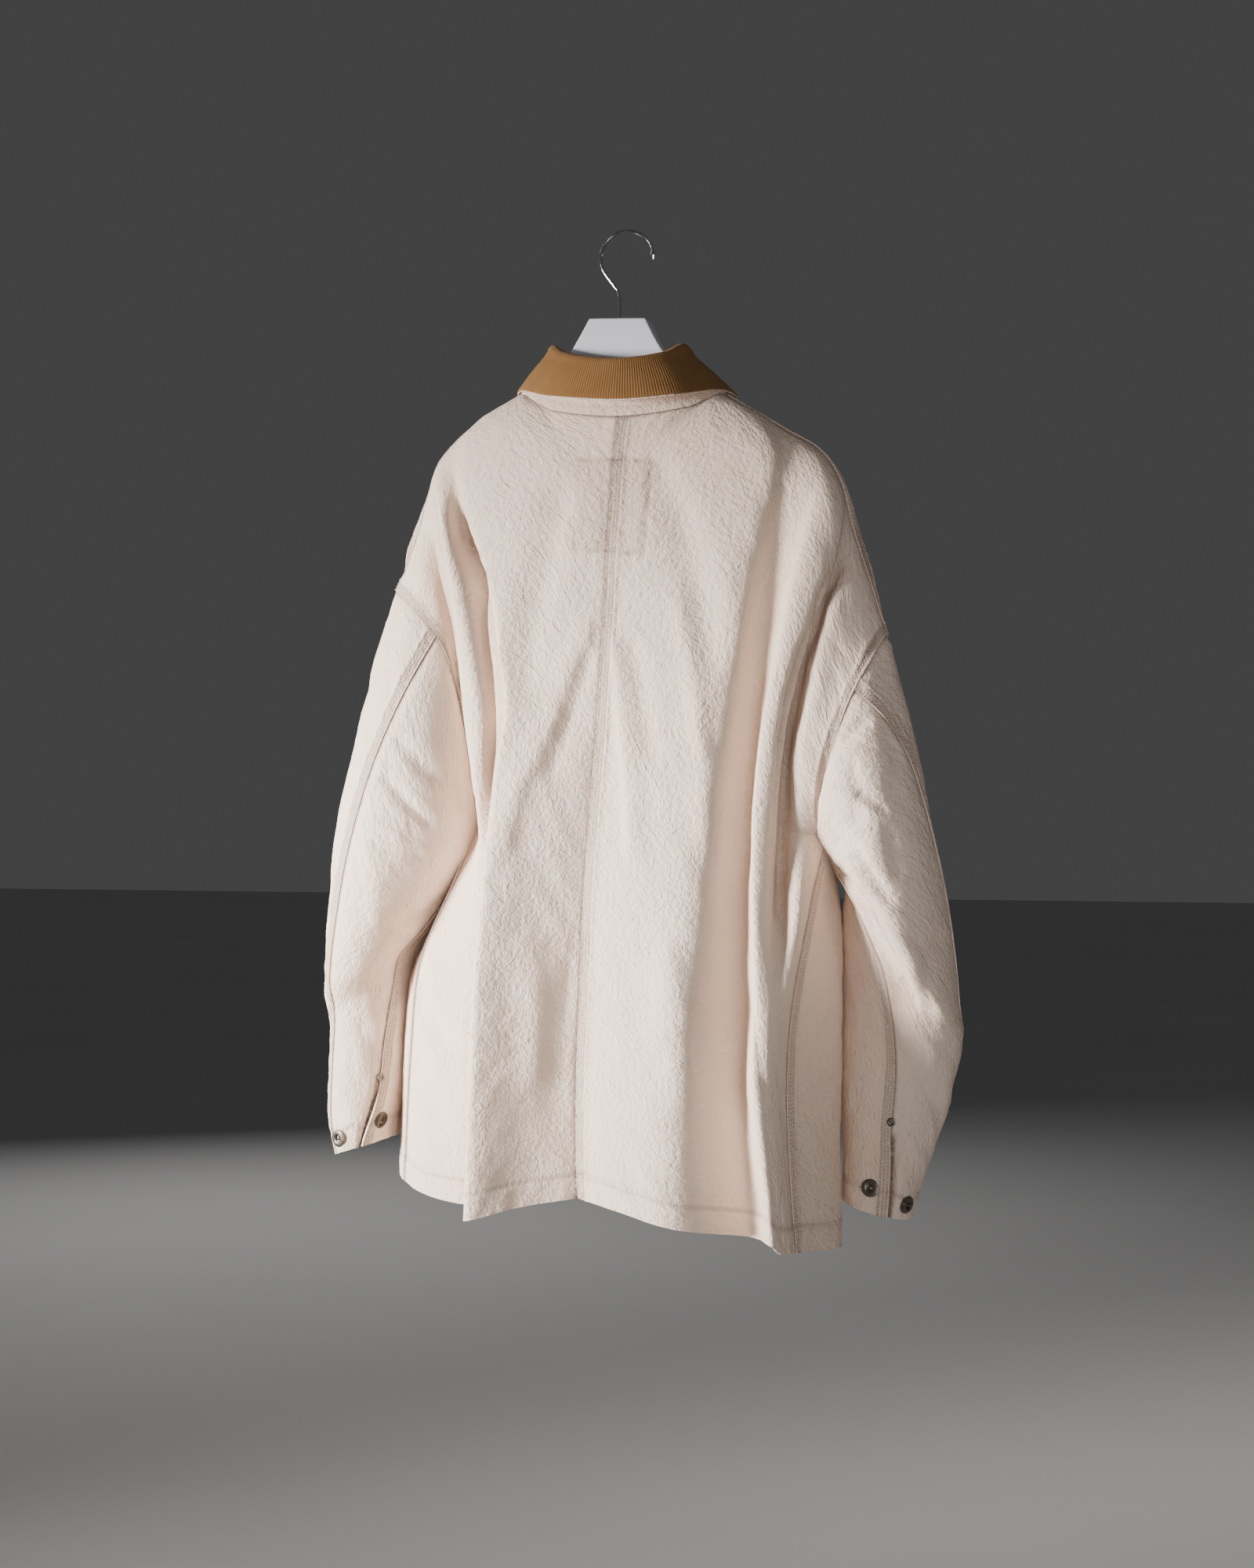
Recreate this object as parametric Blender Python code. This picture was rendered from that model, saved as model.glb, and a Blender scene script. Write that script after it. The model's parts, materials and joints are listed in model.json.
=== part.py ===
"""Loose chore jacket hanging hollow on a moulded hanger.

Metres, +Z up. The origin is the inside of the hook's top, where a rail carries it.
The back of the jacket faces +Y, the front -Y, and the wearer's left is +X.
"""
import math

import bmesh
import bpy
import numpy as np
from mathutils import Vector

MM = 0.001

# Cloth and seams
WALL = 0.0015
LAYER_GAP = 0.0003
SEAM_GAP = 0.0002
SLEEVE_GAP = 0.00035
ARMHOLE_GAP = 0.0005
MITRE_LIMIT = 0.35
MIN_OPENING = 0.2
MAX_PULL = 0.7
COLLAR_WALL = 0.002

# Grid counts. The panels and the sleeves share the rows and the columns that meet at a seam.
NECK_COLUMNS = 5
SHOULDER_COLUMNS = 14
ARMHOLE_ROWS = 12
SIDE_ROWS = 11
SLEEVE_ROWS = 22
ARMHOLE_STEP = 180 / ARMHOLE_ROWS

# Share of a panel's top edge that the neck seam takes
NECK_SHARE_BACK = 0.20
NECK_SHARE_FRONT = 0.40

# Shoulder shape
BACK_ROLL = 0.05
FRONT_ROLL = 0.05
ROW_SPREAD = 1.7
NECK_ROLL = 0.12
FRONT_RISE = {"left": 0.016, "right": 0.007}

# Where a panel starts to bend to its side edge, as a share of its width
SIDE_HOLD = 0.72

# Fasteners
BUTTON_RADIUS = 0.0085
BUTTON_HEIGHT = 0.0042
BUTTON_TURN = 14
# Share of the radius and of the height, from the middle of the foot to the middle of the top
STUD_PROFILE = ((0.0, 0.0), (0.86, 0.0), (1.0, 0.35), (0.94, 0.8), (0.74, 1.0), (0.46, 0.86),
                (0.30, 0.45), (0.0, 0.45))
RIVET_RADIUS = 0.0042
RIVET_HEIGHT = 0.0018
VENT_START = 0.87
VENT_ANGLE = 4.0
RIVET_ABOVE_VENT = 0.012

# Hook
WIRE_RADIUS = 0.0017
WIRE_SIDES = 10
HOOK_INNER_RADIUS = 0.0238
HOOK_START = 186.0
HOOK_STEP = 8.6
HOOK_STEPS = 27
HOOK_SET_BACK = 0.002
TIP_SHARE = 0.75
TIP_KNOB_SHARE = 1.5
# bends of the stem below the round, then its foot on the block: x and z
STEM = ((0.0135, -0.0480), (0.0092, -0.0535), (0.0070, -0.0600), (0.0065, -0.0670),
        (0.0065, -0.0822))

# Hanger body: stations from end to end
HANGER_SIDES = 12
HANGER_SQUARENESS = 0.6
HANGER_STATIONS = (
    # x, top z, depth of the section, half thickness, y of its middle, in mm
    (-176, -209.2, 10, 7, 2), (-162, -200.2, 17, 12, 3), (-128, -179.3, 22, 12, 5),
    (-96, -160.8, 25, 9, 8), (-66, -144, 30, 10, 6), (-45, -124, 38, 12, 3),
    (-33, -108, 44, 12, 2), (-21, -83, 62, 12, 2), (6, -82, 60, 12, 2), (33, -81, 62, 12, 2),
    (48, -108, 44, 12, 2), (60, -124, 38, 12, 3), (76, -138.6, 30, 10, 6),
    (100, -156.5, 25, 9, 9), (130, -170.6, 22, 12, 8), (156, -190.9, 17, 12, 7),
    (168, -200.3, 10, 7, 5))

# Height of the eleven levels at which the tables below give a section of the body, in mm.
LEVELS = (-140, -220, -300, -380, -460, -540, -620, -700, -780, -860, -960)
SIDE_LEVELS = LEVELS[6:]

# Lines that run down each back panel, from the centre seam to the side, and the share of the
# panel's width at which each lies. Each row is a line, each pair its x and y in mm at a level.
BACK_SHARES = (0.0, 0.14, 0.30, 0.42, 0.54, 0.66, 0.73, 0.87, 1.0)
CENTRE_BACK = (
    (-4, 49), (0, 50), (5, 52), (9, 54), (13, 58), (18, 64), (22, 71), (23, 79), (24, 87), (22, 94),
    (16, 100))
BACK_LEFT = (
    # soft swell beside the centre seam
    ((60, 42), (64, 50), (60, 54), (56, 56), (54, 63), (58, 74), (63, 84), (66, 94), (68, 104),
     (68, 112), (66, 120)),
    # crest of the long fold below the hanger's end
    ((160, 30), (146, 42), (128, 50), (114, 60), (104, 71), (107, 84), (110, 99), (114, 113),
     (114, 125), (113, 134), (113, 142)),
    # valley under it
    ((172, 26), (160, 33), (140, 38), (121, 46), (110, 55), (113, 67), (114, 74), (114, 81),
     (113, 88), (112, 94), (112, 98)),
    # face of the fold that covers the armhole
    ((182, 22), (174, 37), (158, 50), (138, 58), (125, 62), (119, 63), (118, 63), (122, 64),
     (124, 67), (124, 72), (124, 76)),
    # its edge
    ((190, 16), (190, 31), (175, 40), (154, 47), (141, 54), (129, 56), (128, 54), (138, 58),
     (142, 62), (143, 68), (144, 72)),
    # the cloth beneath that edge
    ((194, 12), (192, 24), (174, 26), (153, 33), (139, 36), (129, 38), (134, 44), (152, 51),
     (160, 56), (162, 62), (164, 66)),
    # the cloth beside the armhole
    ((198, 10), (198, 18), (194, 27), (166, 37), (144, 34), (134, 24), (144, 32), (170, 40),
     (182, 45), (186, 49), (188, 52)))
BACK_RIGHT = (
    ((-60, 42), (-62, 49), (-58, 53), (-52, 58), (-46, 65), (-40, 74), (-36, 86), (-32, 96),
     (-28, 106), (-28, 116), (-30, 126)),
    ((-150, 30), (-140, 42), (-128, 49), (-116, 56), (-106, 63), (-97, 73), (-90, 86), (-84, 100),
     (-80, 112), (-80, 124), (-82, 136)),
    ((-172, 24), (-162, 33), (-147, 36), (-135, 37), (-127, 39), (-121, 43), (-117, 50),
     (-118, 59), (-123, 69), (-131, 79), (-142, 88)),
    ((-186, 18), (-198, 28), (-181, 45), (-160, 53), (-144, 59), (-135, 67), (-131, 76),
     (-136, 90), (-142, 104), (-154, 116), (-166, 124)),
    ((-200, 12), (-213, 22), (-205, 34), (-180, 46), (-161, 53), (-152, 60), (-147, 68),
     (-149, 86), (-153, 100), (-162, 111), (-172, 117)),
    ((-206, 10), (-214, 17), (-205, 24), (-178, 30), (-160, 34), (-151, 38), (-149, 48),
     (-155, 79), (-158, 93), (-166, 104), (-175, 110)),
    ((-212, 8), (-216, 12), (-222, 18), (-200, 34), (-183, 45), (-170, 50), (-166, 60),
     (-161, 72), (-162, 85), (-169, 95), (-178, 101)))
# The side seam, and above it the armhole's back edge and its front edge.
SIDE_SEAM_LEFT = ((155, 22), (187, 25), (203, 27), (208, 29), (210, 31))
SIDE_SEAM_RIGHT = ((-174, 45), (-164, 62), (-165, 74), (-171, 83), (-180, 89))
BACK_EDGE_LEFT = ((200, 8), (204, 8), (224, 6), (174, 39), (151, 32), (143, 15))
BACK_EDGE_RIGHT = ((-214, 6), (-218, 6), (-232, 5), (-245, 4), (-211, 46), (-188, 38))
FRONT_EDGE_LEFT = ((200, 0), (206, -2), (226, 2), (187, -43), (156, -40), (146, -15))
FRONT_EDGE_RIGHT = ((-206, 0), (-216, 0), (-232, 0), (-245, -2), (-204, -46), (-186, -25))

# Lines down each front panel, from its front edge to the side seam.
FRONT_SHARES = (0.0, 0.14, 0.34, 0.54, 0.74, 0.89, 1.0)
FRONT_LEFT = (
    # front edge
    ((-18, -52), (-16, -56), (-13, -61), (-10, -66), (-6, -72), (-2, -78), (1, -84), (3, -90),
     (4, -96), (4, -102), (2, -108)),
    # beside the placket
    ((52, -46), (46, -55), (38, -63), (34, -69), (33, -76), (34, -84), (36, -92), (38, -100),
     (39, -107), (39, -114), (38, -121)),
    # crest, valley and crest again
    ((106, -20), (101, -47), (91, -60), (80, -69), (71, -78), (70, -88), (74, -98), (79, -107),
     (82, -115), (84, -123), (86, -131)),
    ((140, -24), (132, -44), (132, -50), (122, -56), (110, -60), (108, -64), (114, -70),
     (126, -75), (133, -80), (137, -85), (140, -90)),
    ((176, -10), (172, -30), (178, -36), (154, -54), (134, -64), (130, -68), (138, -76),
     (172, -82), (184, -88), (189, -93), (191, -98)),
    # where the front turns to the side
    ((196, 2), (197, -4), (208, -14), (172, -48), (147, -54), (141, -44), (153, -24), (207, -22),
     (224, -20), (227, -20), (227, -20)))
FRONT_RIGHT = (
    ((18, -48), (20, -52), (23, -57), (26, -63), (30, -70), (34, -78), (37, -86), (39, -94),
     (40, -101), (40, -108), (38, -115)),
    ((-52, -42), (-44, -50), (-32, -56), (-20, -61), (-10, -67), (-3, -73), (0, -79), (2, -85),
     (3, -91), (3, -97), (1, -103)),
    ((-104, -20), (-98, -47), (-88, -60), (-76, -68), (-65, -77), (-55, -86), (-50, -96),
     (-46, -106), (-44, -114), (-44, -122), (-46, -130)),
    ((-140, -24), (-130, -44), (-134, -50), (-128, -56), (-118, -60), (-110, -64), (-106, -69),
     (-104, -74), (-104, -79), (-106, -84), (-108, -89)),
    ((-176, -10), (-176, -30), (-188, -34), (-188, -46), (-166, -62), (-150, -72), (-134, -80),
     (-128, -88), (-128, -94), (-132, -99), (-136, -104)),
    ((-206, 2), (-214, -4), (-228, -6), (-226, -22), (-190, -54), (-176, -50), (-186, -22),
     (-194, -18), (-197, -18), (-198, -18), (-199, -18)))

# Armhole loops: angle in degrees from the shoulder through the back, then x, y, z in mm.
ARMHOLE_LEFT = (
    (0, 227, 4, -332), (35, 202, 30, -349), (60, 185, 38, -366), (85, 170, 40, -387),
    (110, 159, 38, -416), (140, 149, 30, -470), (165, 143, 18, -530), (180, 143, 6, -560),
    (200, 146, -14, -542), (225, 150, -32, -496), (260, 163, -45, -432), (300, 187, -43, -380),
    (330, 209, -26, -351))
ARMHOLE_RIGHT = (
    (0, -245, 2, -381), (35, -234, 28, -406), (65, -220, 42, -438), (95, -206, 48, -476),
    (125, -194, 46, -516), (155, -188, 38, -547), (180, -188, 22, -563), (205, -188, 0, -552),
    (230, -188, -24, -522), (265, -197, -44, -476), (300, -216, -38, -436), (330, -233, -26, -404))

# Shoulder seams: share of the seam from the neck, then x, y, z in mm.
SHOULDER_LEFT = (
    (0.0, 100, 9, -150), (0.13, 134, 12, -170), (0.26, 163, 13, -193), (0.40, 182, 13, -216),
    (0.56, 192, 12, -247), (0.72, 203, 10, -279), (0.86, 214, 7, -308), (1.0, 227, 4, -332))
SHOULDER_RIGHT = (
    (0.0, -96, 8, -157), (0.13, -126, 7, -175), (0.26, -155, 6, -193), (0.40, -184, 5, -211),
    (0.56, -203, 4, -240), (0.72, -214, 3, -283), (0.86, -230, 2, -333), (1.0, -245, 2, -381))

# Neckline and collar, station by station: turn from the centre back in degrees, then the neck
# seam, the collar's fold and the fall's edge, each as x, y, z in mm.
COLLAR = (
    (-180, 14, -53, -233, 2, -50, -196, -34, -92, -254),
    (-155, -42, -48, -216, -30, -48, -166, -72, -80, -212),
    (-122, -84, -26, -182, -50, -28, -128, -99, -40, -164),
    (-90, -96, 8, -157, -52, 0, -112, -98, 4, -152),
    (-45, -66, 40, -172, -40, 32, -124, -70, 57, -161),
    (0, -5, 49, -179, -4, 44, -130, -8, 73, -166),
    (45, 60, 40, -170, 44, 32, -122, 64, 57, -158),
    (90, 100, 9, -150, 68, 0, -108, 106, 4, -145),
    (122, 88, -26, -175, 62, -28, -124, 110, -40, -156),
    (155, 46, -50, -214, 36, -50, -164, 84, -80, -208),
    (180, -14, -58, -235, 4, -57, -198, 44, -92, -252))

# Sleeve rings: outer x and z, inner x and z, back y and front y in mm, and the rest of the
# columns place the back seam and the vent seam by their angle in degrees.
SLEEVE_LEFT = (
    # place, out x, out z, in x, in z, back, front, back seam, vent seam
    (0.00, 227, -332, 143, -560, 42, -46, 75, 180),
    (0.12, 248, -400, 149, -575, 62, -64, 70, 180),
    (0.25, 267, -480, 159, -594, 69, -72, 66, 178),
    (0.38, 283, -560, 177, -624, 67, -74, 62, 174),
    (0.50, 293, -640, 199, -657, 60, -72, 58, 166),
    (0.60, 299, -712, 217, -680, 50, -70, 55, 154),
    (0.655, 300, -746, 221, -700, 30, -70, 53, 144),
    (0.78, 302, -790, 226, -755, 25, -70, 50, 134),
    (0.90, 300, -838, 229, -812, 30, -68, 46, 128),
    (1.00, 289, -874, 238, -856, 33, -66, 42, 112))
SLEEVE_RIGHT = (
    (0.00, -245, -381, -190, -563, 42, -46, 60, 180),
    (0.12, -262, -448, -192, -578, 58, -62, 34, 180),
    (0.25, -279, -528, -196, -590, 65, -74, 10, 172),
    (0.38, -294, -606, -200, -598, 64, -82, -6, 160),
    (0.50, -304, -676, -203, -604, 58, -88, -16, 140),
    (0.58, -308, -724, -204, -612, 50, -92, -20, 118),
    (0.63, -309, -748, -200, -640, 22, -96, -22, 100),
    (0.74, -299, -796, -197, -720, 2, -98, -24, 84),
    (0.88, -279, -856, -196, -810, -6, -97, -27, 76),
    (1.00, -259, -919, -197, -902, -8, -96, -30, 62))

# Hem height along each panel, in mm, at the shares of the lines above.
HEM_BACK_LEFT = (-891, -898, -909, -906, -906, -905, -903, -899, -893)
HEM_BACK_RIGHT = (-891, -899, -910, -921, -921, -929, -931, -932, -933)
HEM_FRONT_LEFT = (-900, -900, -899, -897, -895, -892, -893)
HEM_FRONT_RIGHT = (-901, -902, -908, -918, -932, -943, -933)

# The stand's rows, from its top edge down to the neck seam
STAND_SHARES = (0.99, 0.66, 0.33, 0.0)

# The roll of the collar over the stand: reach outwards and rise above the fold, in mm.
COLLAR_ROLL = ((0.0, 1.8), (3.0, 4.4), (7.2, 2.6), (9.6, -3.2))

# Level of the row that runs from the armpit to the middle, in mm.
CHEST_BACK = -545
CHEST_FRONT = -560

# Pockets and buttons, by share of a front panel and by row from the shoulder
POCKET_SHARES = (0.31, 0.75)
POCKET_ROWS = (1.35, 1.83)
FRONT_BUTTON_ROWS = (0.24, 0.62, 0.89, 1.18, 1.53)
FRONT_BUTTON_SHARE = 0.055
CUFF_BUTTONS = {
    # ring, angle on the left; ring, angle on the right
    "left": ((0.965, 68), (0.952, 138)),
    "right": ((0.965, 92), (0.975, 36)),
}


def clear_scene():
    """Remove every object that the file opened with."""
    for item in list(bpy.data.objects):
        bpy.data.objects.remove(item, do_unlink=True)


def smooth(value):
    """Ease a share from 0 to 1, flat at both ends."""
    value = min(max(value, 0.0), 1.0)
    return value * value * (3 - 2 * value)


def curve_at(keys, values, at):
    """Read a smooth curve through values at rising keys."""
    last = len(keys) - 1
    at = min(max(at, keys[0]), keys[last])
    left = 0
    while left < last - 1 and at > keys[left + 1]:
        left += 1
    span = keys[left + 1] - keys[left]
    part = (at - keys[left]) / span
    before = max(left - 1, 0)
    after = min(left + 2, last)
    start = values[left]
    end = values[left + 1]
    slope_in = (end - values[before]) / (keys[left + 1] - keys[before]) * span
    slope_out = (values[after] - start) / (keys[after] - keys[left]) * span
    square = part * part
    cube = square * part
    return (start * (2 * cube - 3 * square + 1) + slope_in * (cube - 2 * square + part)
            + end * (3 * square - 2 * cube) + slope_out * (cube - square))


def table_at(table, at):
    """Read every column of a table whose first column is the key."""
    keys = [row[0] for row in table]
    columns = [np.array([row[index] for row in table], float) for index in range(1, len(table[0]))]
    return np.array([curve_at(keys, column, at) for column in columns])


def loop_at(table, angle):
    """Read a closed loop of angle, x, y, z in metres."""
    angle = angle % 360
    wrapped = [(table[-1][0] - 360,) + table[-1][1:]]
    wrapped += list(table)
    wrapped += [(row[0] + 360,) + row[1:] for row in table[:2]]
    return table_at(wrapped, angle) * MM


class Half:
    """The tables of one side of the jacket."""

    def __init__(self, name, outward, back, front, side_seam, armhole, shoulder, sleeve, hems):
        self.name = name
        self.outward = outward
        self.back = back
        self.front = front
        self.side_seam = side_seam
        self.armhole = armhole
        self.shoulder = shoulder
        self.sleeve = sleeve
        self.back_hem, self.front_hem = hems


LEFT = Half("left", 1, (CENTRE_BACK,) + BACK_LEFT + (BACK_EDGE_LEFT + SIDE_SEAM_LEFT,),
            FRONT_LEFT + (FRONT_EDGE_LEFT + SIDE_SEAM_LEFT,), SIDE_SEAM_LEFT, ARMHOLE_LEFT,
            SHOULDER_LEFT, SLEEVE_LEFT, (HEM_BACK_LEFT, HEM_FRONT_LEFT))
RIGHT = Half("right", -1, (CENTRE_BACK,) + BACK_RIGHT + (BACK_EDGE_RIGHT + SIDE_SEAM_RIGHT,),
             FRONT_RIGHT + (FRONT_EDGE_RIGHT + SIDE_SEAM_RIGHT,), SIDE_SEAM_RIGHT, ARMHOLE_RIGHT,
             SHOULDER_RIGHT, SLEEVE_RIGHT, (HEM_BACK_RIGHT, HEM_FRONT_RIGHT))


def section_at(lines, shares, share, height):
    """Give x and y of a panel at a share of its width and a height in metres."""
    levels = [-level * MM for level in LEVELS]
    xs = [curve_at(levels, [point[0] for point in line], -height) for line in lines]
    ys = [curve_at(levels, [point[1] for point in line], -height) for line in lines]
    return np.array([curve_at(shares, xs, share), curve_at(shares, ys, share)]) * MM


def neck_at(half, turn):
    """Give the neck seam at a turn from the centre back, 0 to 180."""
    return table_at(COLLAR, turn * half.outward)[0:3] * MM


def free_point(half, share, row, is_back):
    """Give a point on a body panel before its side edge is fitted to the armhole."""
    neck_share = NECK_SHARE_BACK if is_back else NECK_SHARE_FRONT
    lines = half.back if is_back else half.front
    shares = BACK_SHARES if is_back else FRONT_SHARES
    hems = half.back_hem if is_back else half.front_hem
    if share < neck_share:
        turn = 90 * share / neck_share if is_back else 180 - 90 * share / neck_share
        top = neck_at(half, turn)
    else:
        top = table_at(half.shoulder, (share - neck_share) / (1 - neck_share)) * MM
    armpit = loop_at(half.armhole, 180)
    middle = (CHEST_BACK if is_back else CHEST_FRONT) * MM
    chest = middle + (armpit[2] - middle) * smooth(share)
    if row <= 1:
        shoulder_end = loop_at(half.armhole, 0)
        hole = loop_at(half.armhole, 180 * row if is_back else -180 * row)
        fall = (hole[2] - shoulder_end[2]) / (armpit[2] - shoulder_end[2])
        inner = row ** ROW_SPREAD
        near_side = smooth((share - 0.55) / 0.45)
        height = top[2] + (chest - top[2]) * (inner + (fall - inner) * near_side)
    else:
        hem = curve_at(shares, hems, share) * MM
        height = chest + (hem - chest) * (row - 1)
    point = np.append(section_at(lines, shares, share, height), height)
    # the shoulder rolls over from its seam
    roll = BACK_ROLL
    over = smooth((share - neck_share * 0.5) / (neck_share * 0.7))
    if not is_back:
        roll = FRONT_ROLL + (NECK_ROLL - FRONT_ROLL) * (1 - smooth(share / neck_share * 2 - 1))
        over = smooth((share - neck_share * 0.8) / (neck_share * 0.5))
    depth = min((top[2] - height) / roll, 1.0)
    start = section_at(lines, shares, share, top[2])
    round_hold = 1 - math.sqrt(max(1 - (1 - depth) ** 2, 0))
    flat_hold = (1 - depth) ** 2
    point[0] += (top[0] - start[0]) * flat_hold
    point[1] += (top[1] - start[1]) * (flat_hold + (round_hold - flat_hold) * over)
    if not is_back:
        lift = FRONT_RISE[half.name] * 2.6 * math.sqrt(max(depth, 0)) * (1 - depth) ** 2
        along = (share - neck_share) / (1 - neck_share)
        lift *= smooth(along * 3) * (1 - smooth((along - 0.75) / 0.25))
        slope = math.radians(30 + 40 * smooth(along * 1.4))
        point[0] += lift * math.sin(slope) * half.outward
        point[2] += lift * math.cos(slope)
    return point


def side_edge(half, row, is_back):
    """Give the side edge of a panel: the armhole down to row 1, then the side seam."""
    if row <= 1:
        return loop_at(half.armhole, 180 * row if is_back else -180 * row)
    armpit = loop_at(half.armhole, 180)
    height = armpit[2] + (half.back_hem[-1] * MM - armpit[2]) * (row - 1)
    keys = [-armpit[2]] + [-level * MM for level in SIDE_LEVELS]
    points = [armpit[0:2]] + [np.array(point) * MM for point in half.side_seam]
    return np.append(curve_at(keys, points, -height), height)


def panel_point(half, share, row, is_back):
    """Give a point on a body panel.

    share runs from the centre to the side; row runs from 0 at the neck and shoulder, through 1
    at the armpit, to 2 at the hem.
    """
    point = free_point(half, share, row, is_back)
    hold = smooth((share - SIDE_HOLD) / (1 - SIDE_HOLD))
    if hold > 0:
        point += (side_edge(half, row, is_back) - free_point(half, 1.0, row, is_back)) * hold
    return point


def sleeve_point(half, place, angle):
    """Give a point on a sleeve: place runs from the armhole to the cuff, angle round it."""
    out_x, out_z, in_x, in_z, back, front = table_at(half.sleeve, place)[0:6] * MM
    turn = math.radians(angle)
    cosine = math.cos(turn)
    sine = math.sin(turn)
    point = np.array([(out_x + in_x + (out_x - in_x) * cosine) / 2,
                      (back + front + (back - front) * sine) / 2,
                      (out_z + in_z + (out_z - in_z) * cosine) / 2])
    if place < 0.25:
        first = half.sleeve[0]
        ring = np.array([(first[1] + first[3] + (first[1] - first[3]) * cosine) / 2,
                         (first[5] + first[6] + (first[5] - first[6]) * sine) / 2,
                         (first[2] + first[4] + (first[2] - first[4]) * cosine) / 2]) * MM
        point += (loop_at(half.armhole, angle) - ring) * (1 - smooth(place / 0.25))
    return point


def sleeve_seams(half, place):
    """Give the angles of a sleeve's back seam and vent seam at a place."""
    return table_at(half.sleeve, place)[6:8]


def unit(vectors):
    """Scale vectors to length one."""
    lengths = np.linalg.norm(vectors, axis=-1, keepdims=True)
    return vectors / np.maximum(lengths, 1e-9)


def grid_normals(grid):
    """Give unit normals of a grid of points."""
    return unit(np.cross(np.gradient(grid, axis=1), np.gradient(grid, axis=0)))


TOP, BOTTOM, FIRST, LAST = range(4)


class Sheet:
    """A grid of points on the middle of a piece of cloth, with its outward normals.

    pulls holds how far each edge is drawn in: top, bottom, first column and last column.
    """

    def __init__(self, grid, normals):
        rows, columns = grid.shape[:2]
        self.grid = grid
        self.normals = normals
        self.pulls = [np.zeros(columns), np.zeros(columns), np.zeros(rows), np.zeros(rows)]

    def inward(self, side, cell):
        """Give the step from a point on an edge to the next point inside it."""
        step = {TOP: (1, 0), BOTTOM: (-1, 0), FIRST: (0, 1), LAST: (0, -1)}[side]
        return self.grid[cell[0] + step[0], cell[1] + step[1]] - self.grid[cell]

    def drawn_in(self):
        """Give the grid with its edges drawn in."""
        grid = self.grid.copy()
        edges = ((np.s_[0, :], np.s_[1, :]), (np.s_[-1, :], np.s_[-2, :]),
                 (np.s_[:, 0], np.s_[:, 1]), (np.s_[:, -1], np.s_[:, -2]))
        for (edge, inside), pull in zip(edges, self.pulls):
            grid[edge] += unit(self.grid[inside] - self.grid[edge]) * pull[:, None]
        return grid


def join(first, first_side, first_cell, second, second_side, second_cell, gap):
    """Fit two sheets together at one point of a seam.

    Where the cloth runs on nearly flat, the two walls meet in a mitre. Where it turns back in a
    crease, each keeps its own thickness and is drawn in until the walls clear each other.
    """
    normal = first.normals[first_cell]
    other = second.normals[second_cell]
    pull = gap
    if np.dot(normal, other) > MITRE_LIMIT:
        both = unit(normal + other)
        first.normals[first_cell] = both
        second.normals[second_cell] = both
    else:
        away = first.inward(first_side, first_cell)
        back = second.inward(second_side, second_cell)
        opening = math.acos(np.clip(np.dot(unit(away), unit(back)), -1, 1))
        opening = max(min(opening, math.acos(np.clip(-np.dot(normal, other), -1, 1))), MIN_OPENING)
        pull += WALL / 2 / math.tan(opening / 2) + gap / math.sin(opening / 2)
        pull = min(pull, MAX_PULL * np.linalg.norm(away), MAX_PULL * np.linalg.norm(back))
    for sheet, side, cell in ((first, first_side, first_cell), (second, second_side, second_cell)):
        along = cell[1] if side in (TOP, BOTTOM) else cell[0]
        sheet.pulls[side][along] = max(sheet.pulls[side][along], pull)


def make_object(name, vertices, faces, material):
    """Make one named closed solid."""
    mesh = bpy.data.meshes.new(name)
    mesh.from_pydata([tuple(vertex) for vertex in vertices], [], faces)
    work = bmesh.new()
    work.from_mesh(mesh)
    bmesh.ops.recalc_face_normals(work, faces=work.faces)
    work.to_mesh(mesh)
    work.free()
    mesh.shade_smooth()
    mesh.set_sharp_from_angle(angle=math.radians(50))
    mesh.materials.append(material)
    item = bpy.data.objects.new(name, mesh)
    bpy.context.collection.objects.link(item)
    return item


def make_wall(name, sheet, thickness, material, outward=0.0):
    """Make a closed wall round a sheet, its middle moved outward."""
    grid = sheet.drawn_in()
    normals = sheet.normals
    rows, columns = grid.shape[:2]
    outer = grid + normals * (outward + thickness / 2)
    inner = grid + normals * (outward - thickness / 2)
    vertices = np.concatenate([outer.reshape(-1, 3), inner.reshape(-1, 3)])
    layer = rows * columns
    faces = []
    for row in range(rows - 1):
        for column in range(columns - 1):
            corner = row * columns + column
            quad = (corner, corner + columns, corner + columns + 1, corner + 1)
            for face in ((quad[0], quad[1], quad[2]), (quad[0], quad[2], quad[3])):
                faces.append(face)
                faces.append(tuple(layer + index for index in reversed(face)))
    rim = [column for column in range(columns)]
    rim += [row * columns + columns - 1 for row in range(1, rows)]
    rim += [(rows - 1) * columns + column for column in range(columns - 2, -1, -1)]
    rim += [row * columns for row in range(rows - 2, 0, -1)]
    for here, there in zip(rim, rim[1:] + rim[:1]):
        faces.append((here, there, layer + there))
        faces.append((here, layer + there, layer + here))
    return make_object(name, vertices, faces, material)


def panel_rows():
    """Rows that a body panel and its neighbours share."""
    above = [index / ARMHOLE_ROWS for index in range(ARMHOLE_ROWS + 1)]
    below = [1 + (index + 1) / SIDE_ROWS for index in range(SIDE_ROWS)]
    return above + below


def panel_shares(neck_share):
    """Columns of a body panel, the same along the neck and along the shoulder."""
    neck = [neck_share * index / NECK_COLUMNS for index in range(NECK_COLUMNS)]
    shoulder = [neck_share + (1 - neck_share) * index / SHOULDER_COLUMNS
                for index in range(SHOULDER_COLUMNS + 1)]
    return neck + shoulder


def body_sheet(half, is_back):
    """Lay out a back or front panel, from the centre to the side."""
    if is_back:
        shares = panel_shares(NECK_SHARE_BACK)
    else:
        shares = panel_shares(NECK_SHARE_FRONT)
    grid = np.array([[panel_point(half, share, row, is_back) for share in shares]
                     for row in panel_rows()])
    facing = half.outward if is_back else -half.outward
    return Sheet(grid, grid_normals(grid) * facing)


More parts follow.
